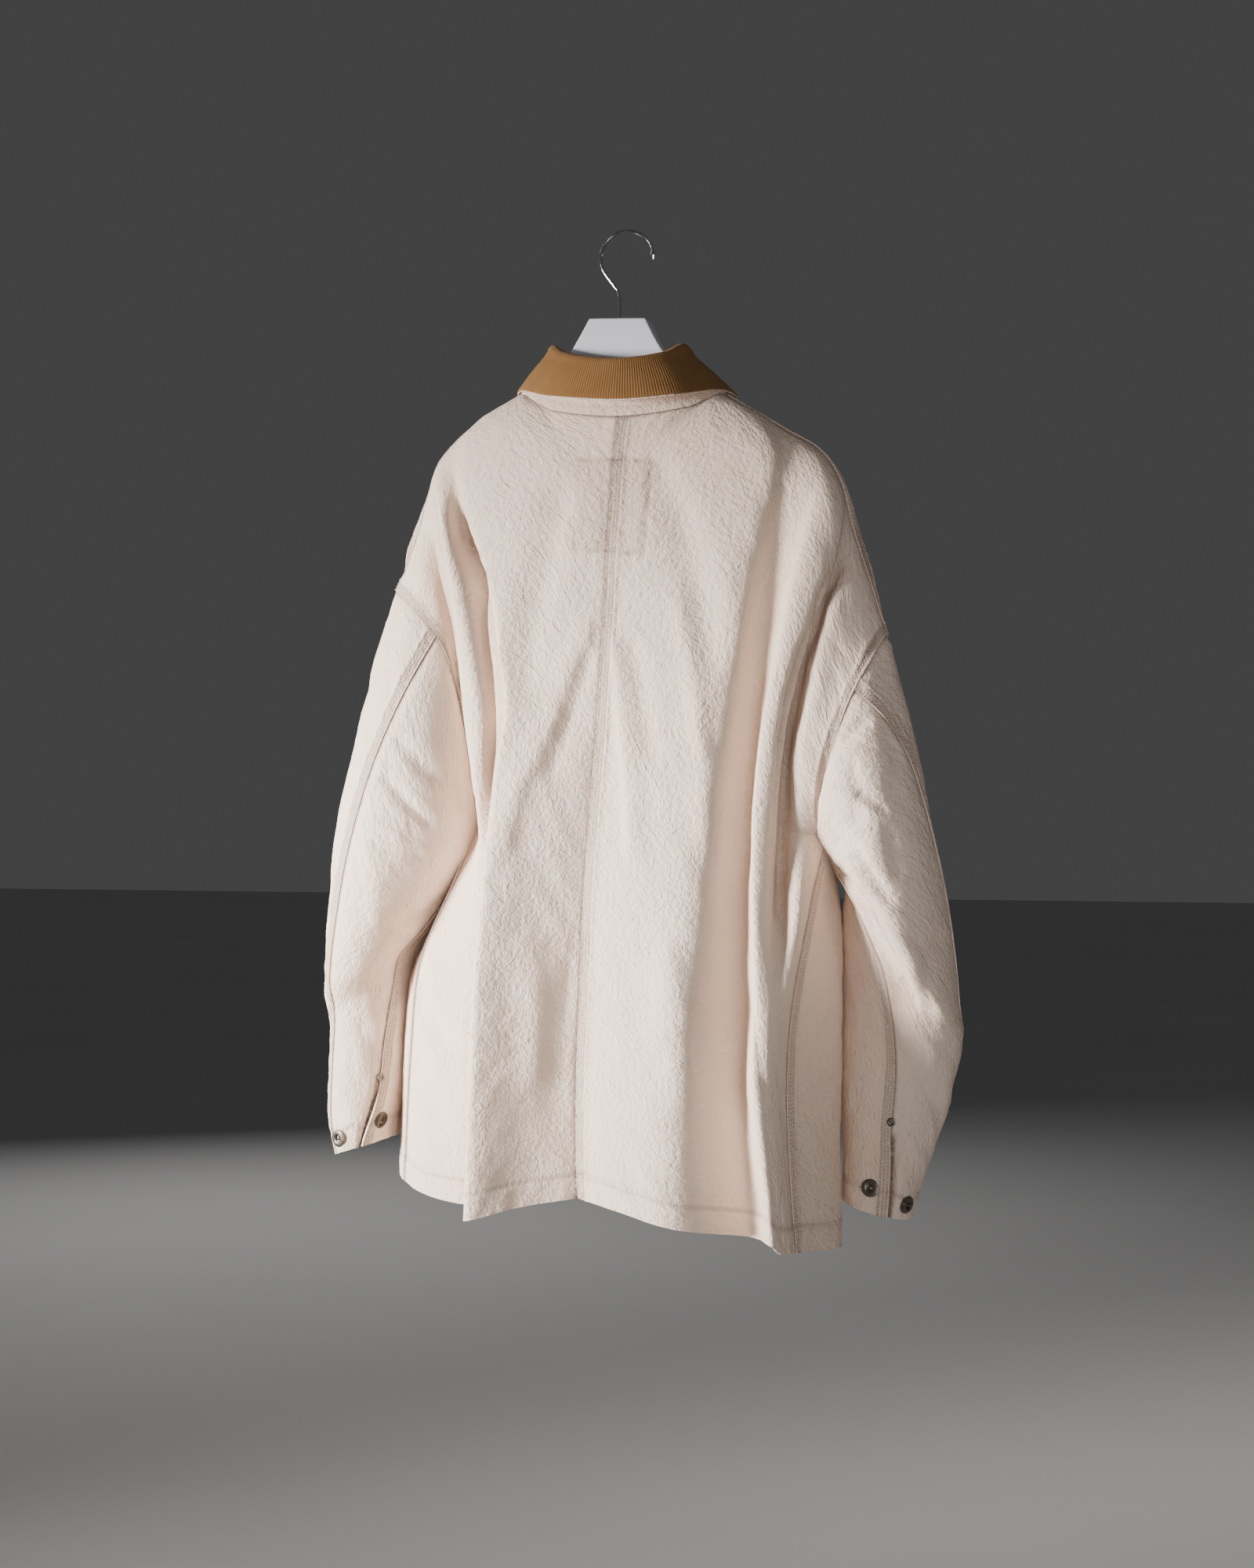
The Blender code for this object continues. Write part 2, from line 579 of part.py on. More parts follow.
def sleeve_sheet(half, is_under):
    """Lay out the under or the top piece of a sleeve, between its two seams."""
    first_seam, last_seam = sleeve_seams(half, 0.0)
    arc = last_seam - first_seam if is_under else 360 - last_seam + first_seam
    count = round(arc / ARMHOLE_STEP)
    grid = []
    normals = []
    outward = -1 if half is LEFT else 1
    for index in range(SLEEVE_ROWS + 1):
        place = index / SLEEVE_ROWS
        back_seam, vent_seam = sleeve_seams(half, place)
        vent = VENT_ANGLE * smooth((place - VENT_START) / (1 - VENT_START))
        if is_under:
            start, end = back_seam, vent_seam - vent
        else:
            start, end = vent_seam + vent, back_seam + 360
        angles = [start + (end - start) * column / count for column in range(count + 1)]
        below = min(place + 0.01, 1.0)
        grid.append([sleeve_point(half, place, angle) for angle in angles])
        normals.append([np.cross(sleeve_point(half, place, angle + 2)
                                 - sleeve_point(half, place, angle - 2),
                                 sleeve_point(half, below, angle)
                                 - sleeve_point(half, below - 0.01, angle)) * outward
                        for angle in angles])
    sheet = Sheet(np.array(grid), unit(np.array(normals)))
    sheet.pulls[FIRST][:] = SLEEVE_GAP
    sheet.pulls[LAST][:] = SLEEVE_GAP
    return sheet


def join_armhole(half, back, front, under, top):
    """Fit the body and the sleeve together round an armhole."""
    first_seam, last_seam = sleeve_seams(half, 0.0)
    for row in range(ARMHOLE_ROWS + 1):
        for panel, angle in ((back, row * ARMHOLE_STEP), (front, 360 - row * ARMHOLE_STEP)):
            cell = (row, panel.grid.shape[1] - 1)
            for sleeve, start in ((under, first_seam), (top, last_seam)):
                column = round(((angle - start) % 360) / ARMHOLE_STEP)
                if column < sleeve.grid.shape[1]:
                    join(panel, LAST, cell, sleeve, TOP, (0, column), ARMHOLE_GAP)


def join_body(backs, fronts):
    """Fit the body panels together at the centre back, the shoulders and the sides."""
    left, right = backs["left"], backs["right"]
    for row in range(left.grid.shape[0]):
        join(left, FIRST, (row, 0), right, FIRST, (row, 0), SEAM_GAP)
    for name in backs:
        back, front = backs[name], fronts[name]
        last = back.grid.shape[1] - 1
        for column in range(last - SHOULDER_COLUMNS, last + 1):
            join(back, TOP, (0, column), front, TOP, (0, column), SEAM_GAP)
        for row in range(ARMHOLE_ROWS, back.grid.shape[0]):
            join(back, LAST, (row, last), front, LAST, (row, last), SEAM_GAP)


def join_neck(stand, backs, fronts):
    """Fit the collar's stand to the neck edge of the body."""
    middle = 2 * NECK_COLUMNS
    bottom = stand.grid.shape[0] - 1
    for column in range(NECK_COLUMNS + 1):
        for name, side in (("left", 1), ("right", -1)):
            for panel, along in ((backs[name], middle + side * column),
                                 (fronts[name], middle + side * (middle - column))):
                join(panel, TOP, (0, column), stand, BOTTOM, (bottom, along), SEAM_GAP)


def collar_sheets():
    """Lay out the collar's stand and its fall."""
    turns = [-180 + 90 * index / NECK_COLUMNS for index in range(4 * NECK_COLUMNS + 1)]
    stand = []
    fall = []
    for turn in turns:
        station = table_at(COLLAR, turn) * MM
        neck, fold, edge = station[0:3], station[3:6], station[6:9]
        stand.append([neck + (fold - neck) * share for share in STAND_SHARES])
        out = np.array([edge[0] - fold[0], edge[1] - fold[1], 0.0])
        out /= np.linalg.norm(out)
        roll = [fold + out * reach * MM + np.array([0, 0, rise * MM])
                for reach, rise in COLLAR_ROLL]
        middle = fold * 0.45 + edge * 0.55 + out * 0.005
        fall.append(roll + [middle, edge])
    stand_grid = np.array(stand).transpose(1, 0, 2)
    fall_grid = np.array(fall).transpose(1, 0, 2)
    return (Sheet(stand_grid, grid_normals(stand_grid)), Sheet(fall_grid, grid_normals(fall_grid)))


def cloth_pieces(cloth, cord):
    """Make the body panels, the sleeves and the collar."""
    halves = (LEFT, RIGHT)
    backs = {half.name: body_sheet(half, True) for half in halves}
    fronts = {half.name: body_sheet(half, False) for half in halves}
    stand, fall = collar_sheets()
    join_body(backs, fronts)
    join_neck(stand, backs, fronts)
    for half in halves:
        back, front = backs[half.name], fronts[half.name]
        under = sleeve_sheet(half, True)
        top = sleeve_sheet(half, False)
        join_armhole(half, back, front, under, top)
        for name, sheet in (("back", back), ("front", front), ("under_sleeve", under),
                            ("top_sleeve", top)):
            make_wall(f"{name}_{half.name}", sheet, WALL, cloth)
    make_wall("collar_stand", stand, WALL, cloth)
    make_wall("collar_fall", fall, COLLAR_WALL, cord)


def frame_at(point, ahead, across):
    """Give the outward normal of a surface from three points on it."""
    normal = np.cross(ahead - point, across - point)
    return normal / np.linalg.norm(normal)


def turned_stud(name, centre, normal, radius, height, material):
    """Make a round stud, dished on top, that stands on a surface."""
    axis = Vector(normal)
    side = axis.orthogonal().normalized()
    other = axis.cross(side)
    base = Vector(centre) + axis * (WALL / 2 + LAYER_GAP)
    vertices = [base]
    for share, rise in STUD_PROFILE[1:-1]:
        for index in range(BUTTON_TURN):
            turn = 2 * math.pi * index / BUTTON_TURN
            offset = side * math.cos(turn) + other * math.sin(turn)
            vertices.append(base + offset * radius * share + axis * height * rise)
    vertices.append(base + axis * height * STUD_PROFILE[-1][1])
    rings = len(STUD_PROFILE) - 2
    last = len(vertices) - 1
    faces = []
    for index in range(BUTTON_TURN):
        following = (index + 1) % BUTTON_TURN
        faces.append((0, 1 + index, 1 + following))
        for ring in range(rings - 1):
            low = 1 + ring * BUTTON_TURN
            high = low + BUTTON_TURN
            faces.append((low + index, high + index, high + following, low + following))
        top = 1 + (rings - 1) * BUTTON_TURN
        faces.append((top + index, last, top + following))
    return make_object(name, vertices, faces, material)


def panel_normal(half, share, row):
    """Outward normal of a front panel."""
    point = panel_point(half, share, row, False)
    ahead = panel_point(half, share + 0.01, row, False)
    below = panel_point(half, share, row + 0.01, False)
    normal = frame_at(point, ahead, below)
    return point, normal if normal[1] < 0 else -normal


def sleeve_normal(half, place, angle):
    """Outward normal of a sleeve."""
    point = sleeve_point(half, place, angle)
    around = sleeve_point(half, place, angle + 3)
    below = sleeve_point(half, place - 0.01, angle)
    normal = frame_at(point, around, below)
    middle = (sleeve_point(half, place, 0) + sleeve_point(half, place, 180)) / 2
    return point, normal if np.dot(normal, point - middle) > 0 else -normal


def fasteners(metal):
    """Make the front buttons, the cuff buttons and the rivets above the vents."""
    for index, row in enumerate(FRONT_BUTTON_ROWS):
        point, normal = panel_normal(LEFT, FRONT_BUTTON_SHARE, row)
        turned_stud(f"front_button_{index + 1}", point, normal, BUTTON_RADIUS, BUTTON_HEIGHT, metal)
    for half in (LEFT, RIGHT):
        for index, (place, angle) in enumerate(CUFF_BUTTONS[half.name]):
            point, normal = sleeve_normal(half, place, angle)
            name = f"cuff_button_{half.name}_{index + 1}"
            turned_stud(name, point, normal, BUTTON_RADIUS, BUTTON_HEIGHT, metal)
        place = VENT_START - RIVET_ABOVE_VENT
        angle = sleeve_seams(half, place)[1]
        point, normal = sleeve_normal(half, place, angle)
        name = f"vent_rivet_{half.name}"
        turned_stud(name, point, normal, RIVET_RADIUS, RIVET_HEIGHT, metal)


def pocket(half, material):
    """Make a patch pocket from the points of the front that it lies on."""
    front = body_sheet(half, False)
    shares = panel_shares(NECK_SHARE_FRONT)
    columns = [index for index, share in enumerate(shares)
               if POCKET_SHARES[0] < share < POCKET_SHARES[1]]
    rows = [index for index, row in enumerate(panel_rows())
            if POCKET_ROWS[0] < row < POCKET_ROWS[1]]
    part = np.ix_(rows, columns)
    sheet = Sheet(front.grid[part], front.normals[part])
    make_wall(f"pocket_{half.name}", sheet, WALL, material, outward=WALL + LAYER_GAP)


def swept_tube(name, centres, radii, sides, material):
    """Make a round tube along points in the plane of the hanger."""
    vertices = []
    for index, centre in enumerate(centres):
        before = centres[max(index - 1, 0)]
        after = centres[min(index + 1, len(centres) - 1)]
        along = Vector(after) - Vector(before)
        along.normalize()
        across = Vector((0, 1, 0))
        up = along.cross(across)
        for step in range(sides):
            turn = 2 * math.pi * step / sides
            offset = across * math.cos(turn) + up * math.sin(turn)
            vertices.append(Vector(centre) + offset * radii[index])
    faces = []
    for index in range(len(centres) - 1):
        for step in range(sides):
            following = (step + 1) % sides
            low = index * sides
            high = low + sides
            faces.append((low + step, high + step, high + following, low + following))
    faces.append(tuple(range(sides)))
    faces.append(tuple(reversed(range(len(vertices) - sides, len(vertices)))))
    return make_object(name, vertices, faces, material)


def hanger(plastic, chrome):
    """Make the moulded hanger and its wire hook."""
    sides = HANGER_SIDES
    vertices = []
    for x, top, deep, half_thick, middle in HANGER_STATIONS:
        for step in range(sides):
            turn = 2 * math.pi * (step + 0.5) / sides
            wide = math.copysign(abs(math.cos(turn)) ** HANGER_SQUARENESS, math.cos(turn))
            tall = math.copysign(abs(math.sin(turn)) ** HANGER_SQUARENESS, math.sin(turn))
            vertices.append(np.array([x, middle + half_thick * wide, top - deep / 2 + deep / 2 * tall])
                            * MM)
    faces = []
    for index in range(len(HANGER_STATIONS) - 1):
        for step in range(sides):
            following = (step + 1) % sides
            low = index * sides
            high = low + sides
            faces.append((low + step, low + following, high + following, high + step))
    faces.append(tuple(reversed(range(sides))))
    faces.append(tuple(range(len(vertices) - sides, len(vertices))))
    make_object("hanger_body", vertices, faces, plastic)

    radius = HOOK_INNER_RADIUS + WIRE_RADIUS
    centre_z = -HOOK_INNER_RADIUS
    points = []
    for index in range(HOOK_STEPS):
        turn = math.radians(HOOK_START - index * HOOK_STEP)
        points.append((radius * math.cos(turn), centre_z + radius * math.sin(turn)))
    points += STEM
    # the stem leans back to the middle of the block
    centres = [(x, HOOK_SET_BACK * smooth((-z - 0.03) / 0.05), z) for x, z in points]
    radii = [WIRE_RADIUS] * len(centres)
    radii[0] = WIRE_RADIUS * TIP_SHARE
    radii[1] = WIRE_RADIUS * TIP_KNOB_SHARE
    swept_tube("hanger_hook", centres, radii, WIRE_SIDES, chrome)


def make_material(name, colour, roughness, metallic=0.0):
    """Make a plain surface."""
    material = bpy.data.materials.new(name)
    material.use_nodes = True
    shader = material.node_tree.nodes["Principled BSDF"]
    shader.inputs["Base Color"].default_value = (*colour, 1)
    shader.inputs["Roughness"].default_value = roughness
    shader.inputs["Metallic"].default_value = metallic
    return material


def main():
    """Build the jacket and its hanger."""
    clear_scene()
    cloth = make_material("canvas", (0.84, 0.78, 0.69), 0.9)
    cord = make_material("corduroy", (0.44, 0.25, 0.11), 0.9)
    metal = make_material("old_nickel", (0.20, 0.18, 0.15), 0.4, 1.0)
    plastic = make_material("white_plastic", (0.85, 0.86, 0.88), 0.4)
    chrome = make_material("chrome", (0.80, 0.80, 0.80), 0.1, 1.0)
    cloth_pieces(cloth, cord)
    for half in (LEFT, RIGHT):
        pocket(half, cloth)
    fasteners(metal)
    hanger(plastic, chrome)


main()
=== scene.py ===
"""Loose chore jacket of washed canvas with a corduroy collar, hanging hollow on a hanger.

Metres, +Z up. The origin is the inside of the hook's top. The back of the jacket faces +Y and
the wearer's left is +X. Tables of places are in millimetres.
"""
from __future__ import annotations

import json
import logging
import math
from dataclasses import dataclass, field
from enum import Enum
from typing import Callable

import bpy
import numpy as np
from mathutils import Matrix, Vector, noise
from mathutils.bvhtree import BVHTree

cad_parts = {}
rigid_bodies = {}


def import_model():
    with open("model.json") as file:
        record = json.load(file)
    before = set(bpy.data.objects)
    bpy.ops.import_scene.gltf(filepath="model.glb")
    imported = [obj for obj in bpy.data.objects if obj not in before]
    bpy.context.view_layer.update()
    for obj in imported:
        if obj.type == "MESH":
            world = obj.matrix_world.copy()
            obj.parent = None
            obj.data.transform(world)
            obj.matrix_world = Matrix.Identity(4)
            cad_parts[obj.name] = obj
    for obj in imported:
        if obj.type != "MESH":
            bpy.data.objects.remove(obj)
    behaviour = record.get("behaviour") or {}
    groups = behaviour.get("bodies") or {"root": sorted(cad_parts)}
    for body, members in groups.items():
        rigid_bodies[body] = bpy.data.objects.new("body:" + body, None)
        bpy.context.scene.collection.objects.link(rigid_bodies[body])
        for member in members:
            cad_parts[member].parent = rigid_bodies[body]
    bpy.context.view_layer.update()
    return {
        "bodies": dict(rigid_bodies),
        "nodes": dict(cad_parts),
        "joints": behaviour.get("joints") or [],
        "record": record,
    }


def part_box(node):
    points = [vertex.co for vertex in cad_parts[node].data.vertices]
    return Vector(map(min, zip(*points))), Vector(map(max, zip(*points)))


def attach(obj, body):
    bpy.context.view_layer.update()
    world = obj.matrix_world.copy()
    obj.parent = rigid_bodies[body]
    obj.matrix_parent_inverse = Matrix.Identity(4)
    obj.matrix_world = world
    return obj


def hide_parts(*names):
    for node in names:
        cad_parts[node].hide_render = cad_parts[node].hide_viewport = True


LOG = logging.getLogger("chore_jacket")
BODY = "root"
MM = 0.001

# Share of a panel's top edge that the neck seam takes, and the roll of the cloth at the shoulder
NECK_SHARE_BACK = 0.20
NECK_SHARE_FRONT = 0.40
BACK_ROLL = 0.05
FRONT_ROLL = 0.05
NECK_ROLL = 0.12
ROW_SPREAD = 1.7
FRONT_RISE = {"left": 0.016, "right": 0.007}
SIDE_HOLD = 0.72
CHEST_BACK = -545
CHEST_FRONT = -560

# Height of the eleven levels at which the tables below give a section of the body, in mm.
LEVELS = (-140, -220, -300, -380, -460, -540, -620, -700, -780, -860, -960)
SIDE_LEVELS = LEVELS[6:]

# Lines that run down each back panel, from the centre seam to the side, and the share of the
# panel's width at which each lies. Each row is a line, each pair its x and y in mm at a level.
BACK_SHARES = (0.0, 0.14, 0.30, 0.42, 0.54, 0.66, 0.73, 0.87, 1.0)
CENTRE_BACK = (
    (-4, 49), (0, 50), (5, 52), (9, 54), (13, 58), (18, 64), (22, 71), (23, 79), (24, 87), (22, 94),
    (16, 100))
BACK_LEFT = (
    # soft swell beside the centre seam
    ((60, 42), (64, 50), (60, 54), (56, 56), (54, 63), (58, 74), (63, 84), (66, 94), (68, 104),
     (68, 112), (66, 120)),
    # crest of the long fold below the hanger's end
    ((160, 30), (146, 42), (128, 50), (114, 60), (104, 71), (107, 84), (110, 99), (114, 113),
     (114, 125), (113, 134), (113, 142)),
    # valley under it
    ((172, 26), (160, 33), (140, 38), (121, 46), (110, 55), (113, 67), (114, 74), (114, 81),
     (113, 88), (112, 94), (112, 98)),
    # face of the fold that covers the armhole
    ((182, 22), (174, 37), (158, 50), (138, 58), (125, 62), (119, 63), (118, 63), (122, 64),
     (124, 67), (124, 72), (124, 76)),
    # its edge
    ((190, 16), (190, 31), (175, 40), (154, 47), (141, 54), (129, 56), (128, 54), (138, 58),
     (142, 62), (143, 68), (144, 72)),
    # the cloth beneath that edge
    ((194, 12), (192, 24), (174, 26), (153, 33), (139, 36), (129, 38), (134, 44), (152, 51),
     (160, 56), (162, 62), (164, 66)),
    # the cloth beside the armhole
    ((198, 10), (198, 18), (194, 27), (166, 37), (144, 34), (134, 24), (144, 32), (170, 40),
     (182, 45), (186, 49), (188, 52)))
BACK_RIGHT = (
    ((-60, 42), (-62, 49), (-58, 53), (-52, 58), (-46, 65), (-40, 74), (-36, 86), (-32, 96),
     (-28, 106), (-28, 116), (-30, 126)),
    ((-150, 30), (-140, 42), (-128, 49), (-116, 56), (-106, 63), (-97, 73), (-90, 86), (-84, 100),
     (-80, 112), (-80, 124), (-82, 136)),
    ((-172, 24), (-162, 33), (-147, 36), (-135, 37), (-127, 39), (-121, 43), (-117, 50),
     (-118, 59), (-123, 69), (-131, 79), (-142, 88)),
    ((-186, 18), (-198, 28), (-181, 45), (-160, 53), (-144, 59), (-135, 67), (-131, 76),
     (-136, 90), (-142, 104), (-154, 116), (-166, 124)),
    ((-200, 12), (-213, 22), (-205, 34), (-180, 46), (-161, 53), (-152, 60), (-147, 68),
     (-149, 86), (-153, 100), (-162, 111), (-172, 117)),
    ((-206, 10), (-214, 17), (-205, 24), (-178, 30), (-160, 34), (-151, 38), (-149, 48),
     (-155, 79), (-158, 93), (-166, 104), (-175, 110)),
    ((-212, 8), (-216, 12), (-222, 18), (-200, 34), (-183, 45), (-170, 50), (-166, 60),
     (-161, 72), (-162, 85), (-169, 95), (-178, 101)))
# The side seam, and above it the armhole's back edge and its front edge.
SIDE_SEAM_LEFT = ((155, 22), (187, 25), (203, 27), (208, 29), (210, 31))
SIDE_SEAM_RIGHT = ((-174, 45), (-164, 62), (-165, 74), (-171, 83), (-180, 89))
BACK_EDGE_LEFT = ((200, 8), (204, 8), (224, 6), (174, 39), (151, 32), (143, 15))
BACK_EDGE_RIGHT = ((-214, 6), (-218, 6), (-232, 5), (-245, 4), (-211, 46), (-188, 38))
FRONT_EDGE_LEFT = ((200, 0), (206, -2), (226, 2), (187, -43), (156, -40), (146, -15))
FRONT_EDGE_RIGHT = ((-206, 0), (-216, 0), (-232, 0), (-245, -2), (-204, -46), (-186, -25))

# Lines down each front panel, from its front edge to the side seam.
FRONT_SHARES = (0.0, 0.14, 0.34, 0.54, 0.74, 0.89, 1.0)
FRONT_LEFT = (
    # front edge
    ((-18, -52), (-16, -56), (-13, -61), (-10, -66), (-6, -72), (-2, -78), (1, -84), (3, -90),
     (4, -96), (4, -102), (2, -108)),
    # beside the placket
    ((52, -46), (46, -55), (38, -63), (34, -69), (33, -76), (34, -84), (36, -92), (38, -100),
     (39, -107), (39, -114), (38, -121)),
    # crest, valley and crest again
    ((106, -20), (101, -47), (91, -60), (80, -69), (71, -78), (70, -88), (74, -98), (79, -107),
     (82, -115), (84, -123), (86, -131)),
    ((140, -24), (132, -44), (132, -50), (122, -56), (110, -60), (108, -64), (114, -70),
     (126, -75), (133, -80), (137, -85), (140, -90)),
    ((176, -10), (172, -30), (178, -36), (154, -54), (134, -64), (130, -68), (138, -76),
     (172, -82), (184, -88), (189, -93), (191, -98)),
    # where the front turns to the side
    ((196, 2), (197, -4), (208, -14), (172, -48), (147, -54), (141, -44), (153, -24), (207, -22),
     (224, -20), (227, -20), (227, -20)))
FRONT_RIGHT = (
    ((18, -48), (20, -52), (23, -57), (26, -63), (30, -70), (34, -78), (37, -86), (39, -94),
     (40, -101), (40, -108), (38, -115)),
    ((-52, -42), (-44, -50), (-32, -56), (-20, -61), (-10, -67), (-3, -73), (0, -79), (2, -85),
     (3, -91), (3, -97), (1, -103)),
    ((-104, -20), (-98, -47), (-88, -60), (-76, -68), (-65, -77), (-55, -86), (-50, -96),
     (-46, -106), (-44, -114), (-44, -122), (-46, -130)),
    ((-140, -24), (-130, -44), (-134, -50), (-128, -56), (-118, -60), (-110, -64), (-106, -69),
     (-104, -74), (-104, -79), (-106, -84), (-108, -89)),
    ((-176, -10), (-176, -30), (-188, -34), (-188, -46), (-166, -62), (-150, -72), (-134, -80),
     (-128, -88), (-128, -94), (-132, -99), (-136, -104)),
    ((-206, 2), (-214, -4), (-228, -6), (-226, -22), (-190, -54), (-176, -50), (-186, -22),
     (-194, -18), (-197, -18), (-198, -18), (-199, -18)))

# Armhole loops: angle in degrees from the shoulder through the back, then x, y, z in mm.
ARMHOLE_LEFT = (
    (0, 227, 4, -332), (35, 202, 30, -349), (60, 185, 38, -366), (85, 170, 40, -387),
    (110, 159, 38, -416), (140, 149, 30, -470), (165, 143, 18, -530), (180, 143, 6, -560),
    (200, 146, -14, -542), (225, 150, -32, -496), (260, 163, -45, -432), (300, 187, -43, -380),
    (330, 209, -26, -351))
ARMHOLE_RIGHT = (
    (0, -245, 2, -381), (35, -234, 28, -406), (65, -220, 42, -438), (95, -206, 48, -476),
    (125, -194, 46, -516), (155, -188, 38, -547), (180, -188, 22, -563), (205, -188, 0, -552),
    (230, -188, -24, -522), (265, -197, -44, -476), (300, -216, -38, -436), (330, -233, -26, -404))

# Shoulder seams: share of the seam from the neck, then x, y, z in mm.
SHOULDER_LEFT = (
    (0.0, 100, 9, -150), (0.13, 134, 12, -170), (0.26, 163, 13, -193), (0.40, 182, 13, -216),
    (0.56, 192, 12, -247), (0.72, 203, 10, -279), (0.86, 214, 7, -308), (1.0, 227, 4, -332))
SHOULDER_RIGHT = (
    (0.0, -96, 8, -157), (0.13, -126, 7, -175), (0.26, -155, 6, -193), (0.40, -184, 5, -211),
    (0.56, -203, 4, -240), (0.72, -214, 3, -283), (0.86, -230, 2, -333), (1.0, -245, 2, -381))

# Neckline and collar, station by station: turn from the centre back in degrees, then the neck
# seam, the collar's fold and the fall's edge, each as x, y, z in mm.
COLLAR = (
    (-180, 14, -53, -233, 2, -50, -196, -34, -92, -254),
    (-155, -42, -48, -216, -30, -48, -166, -72, -80, -212),
    (-122, -84, -26, -182, -50, -28, -128, -99, -40, -164),
    (-90, -96, 8, -157, -52, 0, -112, -98, 4, -152),
    (-45, -66, 40, -172, -40, 32, -124, -70, 57, -161),
    (0, -5, 49, -179, -4, 44, -130, -8, 73, -166),
    (45, 60, 40, -170, 44, 32, -122, 64, 57, -158),
    (90, 100, 9, -150, 68, 0, -108, 106, 4, -145),
    (122, 88, -26, -175, 62, -28, -124, 110, -40, -156),
    (155, 46, -50, -214, 36, -50, -164, 84, -80, -208),
    (180, -14, -58, -235, 4, -57, -198, 44, -92, -252))

# Sleeve rings: outer x and z, inner x and z, back y and front y in mm, and the rest of the
# columns place the back seam and the vent seam by their angle in degrees.
SLEEVE_LEFT = (
    # place, out x, out z, in x, in z, back, front, back seam, vent seam
    (0.00, 227, -332, 143, -560, 42, -46, 75, 180),
    (0.12, 248, -400, 149, -575, 62, -64, 70, 180),
    (0.25, 267, -480, 159, -594, 69, -72, 66, 178),
    (0.38, 283, -560, 177, -624, 67, -74, 62, 174),
    (0.50, 293, -640, 199, -657, 60, -72, 58, 166),
    (0.60, 299, -712, 217, -680, 50, -70, 55, 154),
    (0.655, 300, -746, 221, -700, 30, -70, 53, 144),
    (0.78, 302, -790, 226, -755, 25, -70, 50, 134),
    (0.90, 300, -838, 229, -812, 30, -68, 46, 128),
    (1.00, 289, -874, 238, -856, 33, -66, 42, 112))
SLEEVE_RIGHT = (
    (0.00, -245, -381, -190, -563, 42, -46, 60, 180),
    (0.12, -262, -448, -192, -578, 58, -62, 34, 180),
    (0.25, -279, -528, -196, -590, 65, -74, 10, 172),
    (0.38, -294, -606, -200, -598, 64, -82, -6, 160),
    (0.50, -304, -676, -203, -604, 58, -88, -16, 140),
    (0.58, -308, -724, -204, -612, 50, -92, -20, 118),
    (0.63, -309, -748, -200, -640, 22, -96, -22, 100),
    (0.74, -299, -796, -197, -720, 2, -98, -24, 84),
    (0.88, -279, -856, -196, -810, -6, -97, -27, 76),
    (1.00, -259, -919, -197, -902, -8, -96, -30, 62))

# Hem height along each panel, in mm, at the shares of the lines above.
HEM_BACK_LEFT = (-891, -898, -909, -906, -906, -905, -903, -899, -893)
HEM_BACK_RIGHT = (-891, -899, -910, -921, -921, -929, -931, -932, -933)
HEM_FRONT_LEFT = (-900, -900, -899, -897, -895, -892, -893)
HEM_FRONT_RIGHT = (-901, -902, -908, -918, -932, -943, -933)

# The roll of the collar over the stand: reach outwards and rise above the fold, in mm.
COLLAR_ROLL = ((0.0, 1.8), (3.0, 4.4), (7.2, 2.6), (9.6, -3.2))

# Hanger body: stations from end to end
HANGER_STATIONS = (
    # x, top z, depth of the section, half thickness, y of its middle, in mm
    (-176, -209.2, 10, 7, 2), (-162, -200.2, 17, 12, 3), (-128, -179.3, 22, 12, 5),
    (-96, -160.8, 25, 9, 8), (-66, -144, 30, 10, 6), (-45, -124, 38, 12, 3),
    (-33, -108, 44, 12, 2), (-21, -83, 62, 12, 2), (6, -82, 60, 12, 2), (33, -81, 62, 12, 2),
    (48, -108, 44, 12, 2), (60, -124, 38, 12, 3), (76, -138.6, 30, 10, 6),
    (100, -156.5, 25, 9, 9), (130, -170.6, 22, 12, 8), (156, -190.9, 17, 12, 7),
    (168, -200.3, 10, 7, 5))

# Vent above the cuff, and the patch pockets by share and by row of a front panel
VENT_START = 0.87
VENT_LAP = 5.0
POCKET_SHARES = (0.315, 0.746)
POCKET_ROWS = (1.36, 1.82)
POCKET_BELLY = 0.0022
VENT_PUSH = 0.0042
VENT_CURL = (0.0012, 0.0036)
# Where the painted shade in the vent's gap starts along the under sleeve, and its distance from the edge
SLIT_START = 0.81
SLIT_GAP = 0.0036

# Looks of a sewn edge: widths of the painted shade along a stitch row, along the edge of a band and
# in a dark gap, then the band width from which no row is drawn, and the slope from which the edge isn't
ROW_SPAN = 0.0011
EDGE_SPAN = 0.0010
GAP_SPAN = 0.0024
BROAD_BAND = 0.03
SOFT_SLOPE = 0.003
ROW_DEPTH = 0.0008
GROOVE_LIMIT = 1.3

# Corners of the patch sewn inside the upper back, x and z in mm
PATCH_CORNERS = ((34, -217), (-36, -220), (-31, -308), (38, -303))


class Side(Enum):
    """Which edge of a sheet of cloth, its first or last row or column."""

    TOP = "top"
    BOTTOM = "bottom"
    FIRST = "first"
    LAST = "last"


def smooth(value: np.ndarray | float) -> np.ndarray:
    """Ease values from 0 to 1, flat at both ends.

    Args:
        value: Numbers of any size; they are held between 0 and 1.

    Returns:
        The eased numbers.
    """
    held = np.clip(value, 0.0, 1.0)
    return held * held * (3 - 2 * held)


def unit(vectors: np.ndarray) -> np.ndarray:
    """Scale vectors to length one.

    Args:
        vectors: Vectors along the last axis.

    Returns:
        Vectors of length one, or zero where the length was zero.
    """
    return vectors / np.maximum(np.linalg.norm(vectors, axis=-1, keepdims=True), 1e-9)


